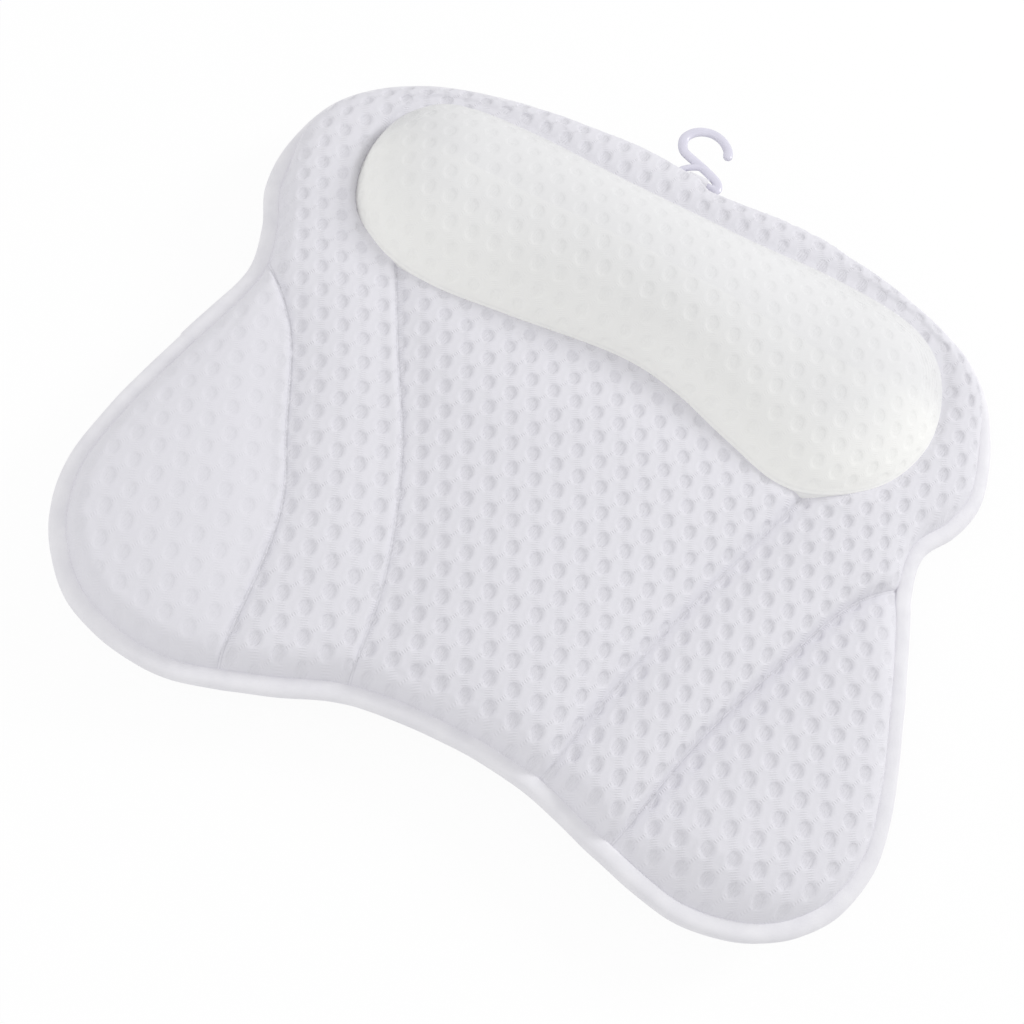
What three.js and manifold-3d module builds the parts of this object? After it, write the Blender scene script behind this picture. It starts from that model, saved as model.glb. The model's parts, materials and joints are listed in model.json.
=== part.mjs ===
// A quilted bath pillow lying on its suction cups: a butterfly-shaped body with a raised
// headrest, a taped edge, a plastic hanging hook in a tape loop and six suction cups.
// Millimetres. +X runs across the pillow, +Y to the head end, +Z out of the quilted front.
import * as THREE from "three";
import { mergeVertices } from "three/addons/utils/BufferGeometryUtils.js";
import Module from "manifold-3d";

const wasm = await Module();
wasm.setup();

// Plan of the body, measured over the edge tape.
const body_half_width = 215;
const body_half_length = 188;

// Fabric, tape and the gap that neighbours keep.
const cover_thickness = 2.4;
const seat_gap = 0.3;
const tape_thickness = 1.1;
const binding_width = 9;
const binding_round = 2.4;
const flange_margin = 1;

// How full the quilted body is.
const back_depth = 10;
const seam_lift = 4;
const pad_crown = 10.5;
const front_seam_run = 30;
const front_edge_run = 27;
const back_seam_run = 12;
const back_edge_run = 14;
const lift_run = 20;
const pad_fullness = 2.5;

// Headrest: the border of body that shows beside it and above it, then its own sizes.
const headrest_side_border = 45;
const headrest_top_border = 31;
const headrest_half_length = 66;
const headrest_rise = 43;
const headrest_seat_inset = 16;

// Suction cups and the washers that hold them in the back cover.
const cup_radius = 22;
const cup_height = 15.4;
const cup_rim_flat = 2.6;
const cup_lip = 1.4;
const cup_hollow = 7.6;
const cup_dome_height = 10.4;
const cup_boss_radius = 8;
const cup_neck_radius = 4.6;
const cup_head_radius = 8.4;
const cup_head_height = 3;
const washer_radius = 12.5;
const washer_thickness = 1.6;
const pocket_clearance = 1;

// Hanging hook and its tape loop.
const hook_stroke = 5.4;
const hook_thickness = 3.2;
const hook_edge_round = 0.6;
const hook_bar_stroke = 3.4;
const hook_place_x = 0.5;
const hook_half_width = 20;
const hook_length = 38.5;
const loop_width = 12;
const loop_tape = 0.9;

// Outline of the body, anticlockwise from the middle of the lower edge, as shares of the half
// width and half length: a shallow bay, a rounded wing tip, a waist and a broad shoulder.
const outline_shares = [
  [0.0, -0.853], [0.209, -0.874], [0.419, -0.947], [0.628, -1.0], [0.837, -0.936],
  [0.967, -0.771], [0.995, -0.596], [0.958, -0.303], [0.902, -0.011], [0.877, 0.133],
  [0.93, 0.229], [0.984, 0.362], [0.977, 0.548], [0.886, 0.787], [0.651, 0.936],
  [0.326, 1.0], [0.075, 0.98], [-0.02, 0.98], [-0.233, 1.0], [-0.512, 0.979],
  [-0.767, 0.878], [-0.921, 0.718], [-0.977, 0.511], [-0.967, 0.335], [-0.916, 0.202],
  [-0.889, 0.069], [-0.921, -0.101], [-0.967, -0.33], [-1.0, -0.585], [-0.963, -0.766],
  [-0.828, -0.936], [-0.605, -1.0], [-0.395, -0.947], [-0.209, -0.872],
];

// Places along the outline, as shares of its length from the same start.
const inner_foot_right_share = 0.034;
const wing_foot_right_share = 0.0633;
const waist_right_share = 0.263;
const waist_left_share = 0.7315;
const wing_foot_left_share = 0.9297;
const inner_foot_left_share = 0.9695;

// Points that each sewn channel passes between its foot and its upper end: how far along the
// straight line between the two, and how far to the left of it, as shares of that line.
const inner_seam_right_shares = [[0.22, 0.018], [0.555, 0.02], [0.805, 0.006]];
const inner_seam_left_shares = [[0.238, -0.054], [0.51, -0.061], [0.772, -0.027]];
const wing_seam_right_shares = [[0.29, 0.044], [0.571, 0.054], [0.841, 0.052]];
const wing_seam_left_shares = [[0.329, -0.096], [0.556, -0.091], [0.807, -0.074]];

// Base line of the headrest, anticlockwise from its middle, as shares of its own half sizes:
// two lobes hang below a bay, and the right lobe hangs lower.
const headrest_shares = [
  [0.0, -0.561], [0.206, -0.636], [0.412, -0.833], [0.612, -0.985], [0.794, -0.833],
  [0.941, -0.485], [1.012, 0.03], [0.971, 0.591], [0.824, 0.909], [0.529, 1.0],
  [0.176, 0.955], [-0.176, 0.955], [-0.529, 1.0], [-0.812, 0.924], [-0.941, 0.636],
  [-0.982, 0.182], [-0.929, -0.303], [-0.794, -0.606], [-0.606, -0.712], [-0.353, -0.659],
];
const seam_meets_headrest_right_share = 0.149;
const seam_meets_headrest_left_share = 0.85;
const headrest_ridge_shares = [[-0.62, 0.13], [0.64, -0.02]];

// Profile of the headrest from its sewn foot over the bulge to the crown: how far out from the
// ridge, and how high, as shares.
const headrest_profile_shares = [
  [0.98, 0], [1.01, 0.12], [0.99, 0.28], [0.93, 0.46], [0.81, 0.66], [0.63, 0.83], [0.41, 0.94],
  [0.18, 1],
];

// Where the cups sit: two under the headrest, as headrest shares, and four as outline shares.
const headrest_cup_shares = [[-0.76, 0.33], [0.76, 0.33]];
const body_cup_shares = [[-0.26, 0.04], [0.26, 0.04], [-0.72, -0.53], [0.72, -0.53]];

// Centre line of the hook from its tip round the bend and down the stem to the bar, then the
// short leg, as shares of the hook's half width and length from the middle of the bar.
const hook_bend_shares = [
  [0.59, 0.715], [0.51, 0.824], [0.23, 0.95], [-0.145, 1.0], [-0.52, 0.958], [-0.815, 0.849],
  [-0.994, 0.684], [-0.954, 0.531], [-0.8, 0.425], [-0.49, 0.363], [-0.087, 0.296],
  [0.318, 0.218], [0.607, 0.14], [0.717, 0.042], [0.7, 0],
];
const hook_bar_shares = [[0.7, 0], [-0.7, 0]];
const hook_leg_shares = [[-0.7, 0], [-0.636, 0.084], [-0.405, 0.19], [-0.087, 0.28]];

// Stations of the lofts: across a panel, along a seam, and across a wing.
const centre_across_shares = [0, 0.07, 0.2, 0.35, 0.5, 0.65, 0.8, 0.93, 1];
const channel_across_shares = [0, 0.18, 0.5, 0.82, 1];
const wing_across_shares = [0, 0.14, 0.38, 0.64, 0.88, 1];
const seam_along_shares = [0, 0.04, 0.11, 0.21, 0.32, 0.43, 0.54, 0.65, 0.76, 0.87, 0.95, 1];
const side_along_shares = [0, 0.07, 0.14, 0.21, 0.28, 0.35, 0.43, 0.53, 0.65, 0.79, 0.93, 1];
const arch_steps = 30;
const cup_facets = 20;
const washer_facets = 16;
const hole_facets = 10;
const pocket_facets = 12;
const hook_steps = 26;

// Heights that stack up from the plane of the cup rims.
const back_outer_height = cup_height + seat_gap;
const back_inner_height = back_outer_height + cover_thickness;
const binding_height = back_inner_height + back_depth;
const seat_height = binding_height + seam_lift + seat_gap / 2 + cover_thickness;
const washer_bottom = back_inner_height + seat_gap;
const head_bottom = washer_bottom + washer_thickness + seat_gap;
const head_top = head_bottom + cup_head_height;

const looks = {
  mesh_fabric: { color: 0xe6e5ea, roughness: 0.9, metalness: 0 },
  headrest_fabric: { color: 0xf0efec, roughness: 0.9, metalness: 0 },
  fibre: { color: 0xf4f4f0, roughness: 0.95, metalness: 0 },
  edge_tape: { color: 0xeae9f1, roughness: 0.7, metalness: 0 },
  hook_plastic: { color: 0xdedcec, roughness: 0.3, metalness: 0 },
  cup_vinyl: { color: 0xe4e8ea, roughness: 0.15, metalness: 0 },
};

const plan = (x, y) => new THREE.Vector2(x, y);
const between = (a, b, share) => plan(a.x + (b.x - a.x) * share, a.y + (b.y - a.y) * share);
const bodyPoint = ([x_share, y_share]) => plan(x_share * body_half_width, y_share * body_half_length);
const flat = (p) => new THREE.Vector3(p.x, p.y, 0);

// A smooth curve through plan points, closed on itself or open.
function curveThrough(points, closed) {
  const curve = new THREE.CatmullRomCurve3(points.map(flat), closed, "centripetal");
  curve.arcLengthDivisions = points.length * 60;
  return curve;
}

// Shares of a closed curve wrap round, so they may start below zero.
const wrapped = (share) => share - Math.floor(share);

function alongCurve(curve, share) {
  const p = curve.getPointAt(curve.closed ? wrapped(share) : share);
  return plan(p.x, p.y);
}

const outline = curveThrough(outline_shares.map(bodyPoint), true);

// A point on the outline moved inwards, square to it.
function insideOutline(share, inset) {
  const p = outline.getPointAt(wrapped(share));
  const t = outline.getTangentAt(wrapped(share));
  return plan(p.x - t.y * inset, p.y + t.x * inset);
}

const flange_width = binding_width + flange_margin;
const flangeAt = (share) => insideOutline(share, flange_width);
const spread = (from, to, shares) => shares.map((share) => from + (to - from) * share);
const evenly = (steps) => Array.from({ length: steps + 1 }, (_, i) => i / steps);

// Stations along the outline, one list for each stretch.
const foot_centre = spread(inner_foot_left_share - 1, inner_foot_right_share, centre_across_shares);
const foot_right = spread(inner_foot_right_share, wing_foot_right_share, channel_across_shares);
const side_right = spread(wing_foot_right_share, waist_right_share, side_along_shares);
const arch = spread(waist_right_share, waist_left_share, evenly(arch_steps));
const side_left = spread(wing_foot_left_share, waist_left_share, side_along_shares);
const foot_left = spread(inner_foot_left_share, wing_foot_left_share, channel_across_shares);
const around = [
  ...foot_centre.slice(0, -1),
  ...foot_right.slice(0, -1),
  ...side_right.slice(0, -1),
  ...arch.slice(0, -1),
  ...[...side_left].reverse().slice(0, -1),
  ...[...foot_left].reverse().slice(0, -1),
];

// The base line of the headrest and its ridge.
const headrest_half_width = body_half_width - headrest_side_border;
const headrest_centre_y = body_half_length - headrest_top_border - headrest_half_length;
const headrestPoint = ([x_share, y_share]) =>
  plan(x_share * headrest_half_width, headrest_centre_y + y_share * headrest_half_length);
const headrest_base = curveThrough(headrest_shares.map(headrestPoint), true);
const [ridge_left, ridge_right] = headrest_ridge_shares.map(headrestPoint);
const base_lower = spread(
  seam_meets_headrest_left_share - 1, seam_meets_headrest_right_share, centre_across_shares,
).map((share) => alongCurve(headrest_base, share));
const base_upper = spread(
  seam_meets_headrest_right_share, seam_meets_headrest_left_share, evenly(arch_steps),
).map((share) => alongCurve(headrest_base, share));
const base_line = [...base_lower.slice(0, -1), ...base_upper.slice(0, -1)];

// The point of the ridge that a base point faces.
function ridgePoint(p) {
  const share = (p.x - ridge_left.x) / (ridge_right.x - ridge_left.x);
  return between(ridge_left, ridge_right, Math.min(Math.max(share, 0), 1));
}

// A sewn channel from its foot at the lower edge to its upper end, at the along stations.
function seam(foot, shares, end) {
  const line = end.clone().sub(foot);
  const passed = shares.map(([along, left]) =>
    plan(foot.x + line.x * along - line.y * left, foot.y + line.y * along + line.x * left),
  );
  const curve = curveThrough([foot, ...passed, end], false);
  return seam_along_shares.map((share) => alongCurve(curve, share));
}

const inner_seam_right = seam(flangeAt(inner_foot_right_share), inner_seam_right_shares, base_upper[0]);
const inner_seam_left = seam(flangeAt(inner_foot_left_share), inner_seam_left_shares, base_upper.at(-1));
const wing_seam_right = seam(
  flangeAt(wing_foot_right_share), wing_seam_right_shares, flangeAt(waist_right_share),
);
const wing_seam_left = seam(
  flangeAt(wing_foot_left_share), wing_seam_left_shares, flangeAt(waist_left_share),
);

// A patch between four rails, as rows of points: the left and right rails run along it, the
// lower and upper rails across it.
function patch(left, right, lower, upper, along, across) {
  return along.map((v, i) =>
    across.map((u, j) => {
      const sides = between(left[i], right[i], u);
      const ends = between(lower[j], upper[j], v);
      const corners = between(
        between(left[0], right[0], u), between(left.at(-1), right.at(-1), u), v,
      );
      return sides.add(ends).sub(corners);
    }),
  );
}

// A ruled patch between two rails, one row for each point of the rails.
const ruled = (first, second, across) =>
  first.map((p, i) => across.map((share) => between(p, second[i], share)));

const straight = (a, b, shares) => shares.map((share) => between(a, b, share));
const centre_panel = patch(
  inner_seam_left, inner_seam_right, foot_centre.map(flangeAt), base_lower,
  seam_along_shares, centre_across_shares,
);
const channel_right = patch(
  inner_seam_right, wing_seam_right, foot_right.map(flangeAt),
  straight(base_upper[0], flangeAt(waist_right_share), channel_across_shares),
  seam_along_shares, channel_across_shares,
);
const channel_left = patch(
  inner_seam_left, wing_seam_left, foot_left.map(flangeAt),
  straight(base_upper.at(-1), flangeAt(waist_left_share), channel_across_shares),
  seam_along_shares, channel_across_shares,
);
const arch_panel = ruled(base_upper, arch.map(flangeAt), channel_across_shares);
const wing_right = ruled(wing_seam_right, side_right.map(flangeAt), wing_across_shares);
const wing_left = ruled(wing_seam_left, side_left.map(flangeAt), wing_across_shares);

// Under the headrest the front cover is a flat seat inside a narrow ring.
const panel_top = centre_panel.at(-1).slice(1, -1);
const seat_rail = base_upper.map((p) => {
  const ridge = ridgePoint(p);
  return between(p, ridge, headrest_seat_inset / p.distanceTo(ridge));
});
seat_rail[0] = panel_top.at(-1);
seat_rail[arch_steps] = panel_top[0];
const seat_ring = ruled(base_upper, seat_rail, [0, 1]);
const seat_floor = [...panel_top, ...seat_rail.slice(1, -1)];

// Distance from a plan point to a line of points.
function distanceTo(line, p, closed) {
  let nearest = Infinity;
  for (let i = closed ? 0 : 1; i < line.length; i++) {
    const a = line.at(i - 1);
    const ab = line[i].clone().sub(a);
    const share = Math.min(Math.max(p.clone().sub(a).dot(ab) / ab.lengthSq(), 0), 1);
    nearest = Math.min(nearest, p.distanceTo(a.clone().addScaledVector(ab, share)));
  }
  return nearest;
}

// True where a plan point lies inside a closed line.
function isInside(line, p) {
  let inside = false;
  line.forEach((b, i) => {
    const a = line.at(i - 1);
    const crosses = a.y > p.y !== b.y > p.y;
    if (crosses && p.x < a.x + ((p.y - a.y) * (b.x - a.x)) / (b.y - a.y)) inside = !inside;
  });
  return inside;
}

const flange_line = around.map(flangeAt);
const sewn_seams = [inner_seam_left, inner_seam_right, wing_seam_left, wing_seam_right];
const onBase = (p) => base_line.some((q) => q.distanceTo(p) < seat_gap);
const underHeadrest = (p) => isInside(base_line, p) || onBase(p);

// Rises from nothing at a seam or an edge to one where the padding is full.
const puff = (distance, run) => 1 - (1 - Math.min(distance / run, 1)) ** pad_fullness;

// Height of the plane in which the two covers are sewn together.
const edgeDistance = (p) => (isInside(flange_line, p) ? distanceTo(flange_line, p, true) : 0);
const sewnHeight = (p) => binding_height + seam_lift * puff(edgeDistance(p), lift_run);

function frontInner(p) {
  const sewn = sewnHeight(p) + seat_gap / 2;
  if (underHeadrest(p)) return sewn;
  const seam_distance = Math.min(
    ...sewn_seams.map((line) => distanceTo(line, p, false)), distanceTo(base_line, p, true),
  );
  const edge = puff(edgeDistance(p), front_edge_run);
  return sewn + pad_crown * edge * puff(seam_distance, front_seam_run);
}

function backInner(p) {
  const sewn = sewnHeight(p) - seat_gap / 2;
  const seam_distance = Math.min(
    ...sewn_seams.map((line) => distanceTo(line, p, false)), distanceTo(base_upper, p, false),
  );
  const edge = puff(edgeDistance(p), back_edge_run);
  return sewn - (sewn - back_inner_height) * edge * puff(seam_distance, back_seam_run);
}

// Plan triangles, anticlockwise, of the cells of a patch or of a polygon. A cell whose corners
// run together has none.
const signedArea = (a, b, c) => b.clone().sub(a).cross(c.clone().sub(a)) / 2;

function anticlockwise(a, b, c) {
  if (Math.min(a.distanceTo(b), b.distanceTo(c), c.distanceTo(a)) < seat_gap) return [];
  return [signedArea(a, b, c) > 0 ? [a, b, c] : [a, c, b]];
}

// A cell with a hollow corner is split across that corner, so that it never folds over.
function cells(rows) {
  const triangles = [];
  for (let i = 1; i < rows.length; i++) {
    for (let j = 1; j < rows[i].length; j++) {
      const [a, b, c, d] = [rows[i - 1][j - 1], rows[i - 1][j], rows[i][j], rows[i][j - 1]];
      const folds = signedArea(a, b, c) * signedArea(a, c, d) < 0;
      const [p, q, r, s] = folds ? [b, c, d, a] : [a, b, c, d];
      triangles.push(...anticlockwise(p, q, r), ...anticlockwise(p, r, s));
    }
  }
  return triangles;
}

const polygonCells = (points) =>
  THREE.ShapeUtils.triangulateShape(points, []).flatMap(([a, b, c]) =>
    anticlockwise(points[a], points[b], points[c]),
  );

const part_of = (rows, row_from, row_to, from, to) =>
  rows.slice(row_from, row_to).map((row) => row.slice(from, to));

// One closed geometry from loose triangles.
function closedGeometry(triangles) {
  const geometry = new THREE.BufferGeometry();
  const positions = triangles.flat().flatMap((p) => [p.x, p.y, p.z]);
  geometry.setAttribute("position", new THREE.Float32BufferAttribute(positions, 3));
  const merged = mergeVertices(geometry);
  merged.computeVertexNormals();
  return merged;
}

// A slab over plan triangles, with a wall along every edge that only one triangle has.
function slab(triangles, topAt, bottomAt) {
  const key = (p) => `${p.x.toFixed(4)},${p.y.toFixed(4)}`;
  const tops = new Map();
  const bottoms = new Map();
  const at = (heights, p, heightAt) => {
    const name = key(p);
    if (!heights.has(name)) heights.set(name, new THREE.Vector3(p.x, p.y, heightAt(p)));
    return heights.get(name);
  };
  const edges = new Set();
  for (const [a, b, c] of triangles) {
    for (const [from, to] of [[a, b], [b, c], [c, a]]) edges.add(`${key(from)}>${key(to)}`);
  }
  const faces = [];
  for (const triangle of triangles) {
    const top = triangle.map((p) => at(tops, p, topAt));
    const bottom = triangle.map((p) => at(bottoms, p, bottomAt));
    faces.push(top, [...bottom].reverse());
    triangle.forEach((from, i) => {
      const j = (i + 1) % triangle.length;
      if (edges.has(`${key(triangle[j])}>${key(from)}`)) return;
      faces.push([bottom[i], bottom[j], top[j]], [bottom[i], top[j], top[i]]);
    });
  }
  return closedGeometry(faces);
}

// Solids for cutting and joining.
function solidOf(geometry) {
  const bare = geometry.clone();
  bare.deleteAttribute("normal");
  bare.deleteAttribute("uv");
  const merged = mergeVertices(bare);
  return new wasm.Manifold(new wasm.Mesh({
    numProp: 3,
    vertProperties: new Float32Array(merged.attributes.position.array),
    triVerts: new Uint32Array(merged.index.array),
  }));
}

function geometryOf(solid) {
  const { vertProperties, triVerts } = solid.getMesh();
  const geometry = new THREE.BufferGeometry();
  geometry.setAttribute("position", new THREE.BufferAttribute(new Float32Array(vertProperties), 3));
  geometry.setIndex(new THREE.BufferAttribute(new Uint32Array(triVerts), 1));
  geometry.computeVertexNormals();
  return geometry;
}

// An upright round peg from one height to another, to cut with.
function peg(place, radius, bottom, top, facets) {
  const corner_radius = radius / Math.cos(Math.PI / facets);
  const geometry = new THREE.CylinderGeometry(corner_radius, corner_radius, top - bottom, facets);
  geometry.rotateX(Math.PI / 2);
  geometry.translate(place.x, place.y, (bottom + top) / 2);
  return solidOf(geometry);
}

const cutBy = (geometry, pegs) =>
  geometryOf(pegs.reduce((solid, cutter) => solid.subtract(cutter), solidOf(geometry)));

const pillow = new THREE.Group();

function addPiece(name, geometry, look) {
  const mesh = new THREE.Mesh(geometry, new THREE.MeshStandardMaterial(looks[look]));
  mesh.name = name;
  pillow.add(mesh);
  return mesh;
}

const cup_places = [...headrest_cup_shares.map(headrestPoint), ...body_cup_shares.map(bodyPoint)];

// Front and back covers: the whole plan with the flange that the edge tape grips.
const body_cells = [
  ...cells(centre_panel), ...cells(channel_right), ...cells(channel_left), ...cells(arch_panel),
  ...cells(wing_right), ...cells(wing_left), ...cells(seat_ring), ...polygonCells(seat_floor),
];
const flange_loop = [...around, around[0]];
const flange_cells = cells(flange_loop.map((share) => [
  insideOutline(share, tape_thickness + seat_gap), flangeAt(share),
]));
const cover_cells = [...body_cells, ...flange_cells];
const frontOuter = (p) => frontInner(p) + cover_thickness;
const backOuter = (p) => backInner(p) - cover_thickness;
addPiece("front_cover", slab(cover_cells, frontOuter, frontInner), "mesh_fabric");

const neck_holes = cup_places.map((place) =>
  peg(place, cup_neck_radius + seat_gap, cup_height, washer_bottom, hole_facets),
);
addPiece("back_cover", cutBy(slab(cover_cells, backInner, backOuter), neck_holes), "mesh_fabric");

// Padding inside each panel, with pockets over the cup heads.
const pocket_radius = washer_radius + pocket_clearance;
const pocket_top = head_top + pocket_clearance;
const pockets = cup_places.map((place) =>
  peg(place, pocket_radius, back_outer_height, pocket_top, pocket_facets),
);
const last_row = seam_along_shares.length;
const pad_cells = {
  centre_pad: [
    ...cells(part_of(centre_panel, 1, last_row, 1, -1)), ...polygonCells(seat_floor),
  ],
  arch_pad: [
    ...cells(part_of(channel_right, 1, last_row, 1, -1)),
    ...cells(part_of(arch_panel, 0, arch_steps + 1, 1, -1)),
    ...cells(part_of(channel_left, 1, last_row, 1, -1)),
  ],
  wing_pad_right: cells(part_of(wing_right, 2, -2, 1, -1)),
  wing_pad_left: cells(part_of(wing_left, 2, -2, 1, -1)),
};
const padTop = (p) => frontInner(p) - seat_gap;
const padBottom = (p) => backInner(p) + seat_gap;
for (const [name, triangles] of Object.entries(pad_cells)) {
  addPiece(name, cutBy(slab(triangles, padTop, padBottom), pockets), "fibre");
}

// Edge tape: a folded strip whose legs grip both covers.
const leg_inner = cover_thickness + seat_gap / 2 + seat_gap;
const leg_outer = leg_inner + tape_thickness;
const tape_flat = leg_outer - binding_round;
const tape_section = [
  [binding_width, leg_inner], [binding_width, leg_outer], [binding_round, leg_outer],
  [0, tape_flat], [0, -tape_flat], [binding_round, -leg_outer],
  [binding_width, -leg_outer], [binding_width, -leg_inner], [tape_thickness, -leg_inner],
  [tape_thickness, leg_inner],
];
const tape_rings = around.map((share) =>
  tape_section.map(([inset, height]) => {
    const p = insideOutline(share, inset);
    return new THREE.Vector3(p.x, p.y, binding_height + height);
  }),
);

// Faces between rings of points; closed also joins the last ring to the first.
function ringFaces(rings, closed) {
  const faces = [];
  for (let i = closed ? 0 : 1; i < rings.length; i++) {
    const [before, after] = [rings.at(i - 1), rings[i]];
    after.forEach((p, j) => {
      const k = (j + 1) % after.length;
      faces.push([before[j], after[k], after[j]], [before[j], before[k], after[k]]);
    });
  }
  return faces;
}
addPiece("edge_binding", closedGeometry(ringFaces(tape_rings, true)), "edge_tape");

// Headrest: rings of the base line drawn in towards the ridge.
const headrest_bottom = seat_height + seat_gap;
const nominal_reach = headrest_half_length;

// The profile moved inwards by a wall, square to itself.
function profile(wall) {
  const points = headrest_profile_shares.map(([out, up]) => plan(out * nominal_reach, up * headrest_rise));
  return points.map((p, i) => {
    const along = points[Math.min(i + 1, points.length - 1)].clone().sub(points[Math.max(i - 1, 0)]);
    const inward = plan(-along.y, along.x).normalize();
    const moved = p.clone().addScaledVector(inward, wall);
    if (i === 0) moved.set(p.x - wall, 0);
    return moved;
  });
}

const headrestRings = (wall) =>
  profile(wall).map((point) =>
    base_line.map((p) => {
      const ridge = ridgePoint(p);
      const reach = p.distanceTo(ridge);
      const outward = p.clone().sub(ridge).divideScalar(reach);
      const lost = (1 - point.x / nominal_reach) * reach;
      const q = p.clone().addScaledVector(outward, -lost);
      return new THREE.Vector3(q.x, q.y, headrest_bottom + point.y);
    }),
  );

function lidFaces(ring, facing_up) {
  const points = ring.map((p) => plan(p.x, p.y));
  return THREE.ShapeUtils.triangulateShape(points, []).map((triangle) => {
    const [a, b, c] = triangle.map((i) => points[i]);
    const up = b.clone().sub(a).cross(c.clone().sub(a)) > 0;
    return (up === facing_up ? triangle : [...triangle].reverse()).map((i) => ring[i]);
  });
}
const turned = (faces) => faces.map((face) => [...face].reverse());

const cover_outer = headrestRings(0);
const cover_inner = headrestRings(cover_thickness);
const pad_rings = headrestRings(cover_thickness + seat_gap);
addPiece("headrest_cover", closedGeometry([
  ...ringFaces(cover_outer, false), ...lidFaces(cover_outer.at(-1), true),
  ...turned(ringFaces(cover_inner, false)), ...lidFaces(cover_inner.at(-1), false),
  ...ringFaces([cover_inner[0], cover_outer[0]], false),
]), "headrest_fabric");
addPiece("headrest_pad", closedGeometry([
  ...ringFaces(pad_rings, false), ...lidFaces(pad_rings.at(-1), true),
  ...lidFaces(pad_rings[0], false),
]), "fibre");

// A solid of revolution about an upright axis, from a profile of radius and height.
function turnedPiece(points, facets) {
  const geometry = new THREE.LatheGeometry(points.map(([r, z]) => plan(r, z)), facets);
  geometry.rotateX(Math.PI / 2);
  return geometry;
}

// Suction cup: a thin bell with a flat rim, a boss under the back cover, a neck through it and
// a mushroom head over the washer.
const hollow_radius = cup_radius - cup_rim_flat;
const cup_profile = [
  [0, cup_hollow], [hollow_radius * 0.4, cup_hollow * 0.93], [hollow_radius * 0.7, cup_hollow * 0.66],
  [hollow_radius * 0.9, cup_hollow * 0.3], [hollow_radius, 0], [cup_radius, 0],
  [cup_radius, cup_lip], [cup_radius * 0.86, cup_dome_height * 0.45],
  [cup_radius * 0.62, cup_dome_height * 0.85], [cup_boss_radius, cup_dome_height],
  [cup_boss_radius, cup_height], [cup_neck_radius, cup_height], [cup_neck_radius, head_bottom],
  [cup_head_radius, head_bottom], [cup_head_radius * 0.8, head_bottom + cup_head_height * 0.7],
  [0, head_top],
];
const washer_hole = cup_neck_radius + seat_gap;
const washer_top = washer_bottom + washer_thickness;
const washer_profile = [
  [washer_hole, washer_bottom], [washer_radius, washer_bottom], [washer_radius, washer_top],
  [washer_hole, washer_top], [washer_hole, washer_bottom],
];
cup_places.forEach((place, i) => {
  const cup = addPiece(`suction_cup_${i + 1}`, turnedPiece(cup_profile, cup_facets), "cup_vinyl");
  cup.position.set(place.x, place.y, 0);
  const ring = turnedPiece(washer_profile, washer_facets);
  const washer = addPiece(`cup_washer_${i + 1}`, ring, "hook_plastic");
  washer.position.set(place.x, place.y, 0);
});

// Hook: flat moulded strokes of one width along its centre line, joined into one body.
const hook_reach_x = hook_half_width - hook_stroke / 2;
const hook_reach_y = hook_length - hook_stroke / 2;
const hookPoint = ([x_share, y_share]) => plan(x_share * hook_reach_x, y_share * hook_reach_y);

function stroke(shares, width, steps) {
  const curve = curveThrough(shares.map(hookPoint), false);
  const beside = (share, degrees) => {
    const p = curve.getPointAt(share);
    const t = curve.getTangentAt(share);
    const direction = plan(t.x, t.y).rotateAround(plan(0, 0), THREE.MathUtils.degToRad(degrees));
    return plan(p.x, p.y).addScaledVector(direction, width / 2);
  };
  const shape = new THREE.Shape([
    ...evenly(steps).map((share) => beside(share, -90)),
    ...[-45, 0, 45].map((degrees) => beside(1, degrees)),
    ...evenly(steps).map((share) => beside(1 - share, 90)),
    ...[135, 180, 225].map((degrees) => beside(0, degrees)),
  ]);
  const geometry = new THREE.ExtrudeGeometry(shape, {
    depth: hook_thickness - 2 * hook_edge_round,
    bevelSize: hook_edge_round,
    bevelOffset: -hook_edge_round,
    bevelThickness: hook_edge_round,
    bevelSegments: 1,
  });
  geometry.translate(0, 0, hook_edge_round - hook_thickness / 2);
  return solidOf(geometry);
}
const hook_solid = stroke(hook_bend_shares, hook_stroke, hook_steps)
  .add(stroke(hook_bar_shares, hook_bar_stroke, 2))
  .add(stroke(hook_leg_shares, hook_bar_stroke, 5));

// Tape loop: wraps the bar with room for it to turn, and is sewn in at the edge tape.
const bar_swing_radius = Math.hypot(hook_bar_stroke, hook_thickness) / 2;
const loop_inner = bar_swing_radius + seat_gap;
const loop_outer = loop_inner + loop_tape;
const outer_edge = around.map((share) => insideOutline(share, 0));

// How far up the faceted outer edge of the tape reaches at one place across.
function edgeTop(x) {
  const crossings = outer_edge.flatMap((b, i) => {
    const a = outer_edge.at(i - 1);
    return (a.x - x) * (b.x - x) < 0 ? [a.y + ((b.y - a.y) * (x - a.x)) / (b.x - a.x)] : [];
  });
  return Math.max(...crossings);
}
const loop_start_x = hook_place_x - loop_width / 2;
const edge_y = Math.max(...evenly(8).map((share) => edgeTop(loop_start_x + share * loop_width)));
const bar_y = edge_y + seat_gap + loop_outer;
const loop_shape = new THREE.Shape();
loop_shape.moveTo(-loop_outer, -tape_flat);
loop_shape.lineTo(0, -loop_outer);
loop_shape.absarc(0, 0, loop_outer, -Math.PI / 2, Math.PI / 2, false);
loop_shape.lineTo(-loop_outer, tape_flat);
const loop_hole = new THREE.Path();
loop_hole.absarc(0, 0, loop_inner, 0, Math.PI * 2, true);
loop_shape.holes.push(loop_hole);
const loop_geometry = new THREE.ExtrudeGeometry(loop_shape, {
  depth: loop_width, bevelEnabled: false, curveSegments: 10,
});
loop_geometry.translate(0, 0, -loop_width / 2);
const hook = addPiece("hook", geometryOf(hook_solid), "hook_plastic");
hook.position.set(hook_place_x, bar_y, binding_height);
const hook_loop = addPiece("hook_loop", loop_geometry, "edge_tape");
hook_loop.rotation.set(Math.PI / 2, Math.PI / 2, 0);
hook_loop.position.set(hook_place_x, bar_y, binding_height);

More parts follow.
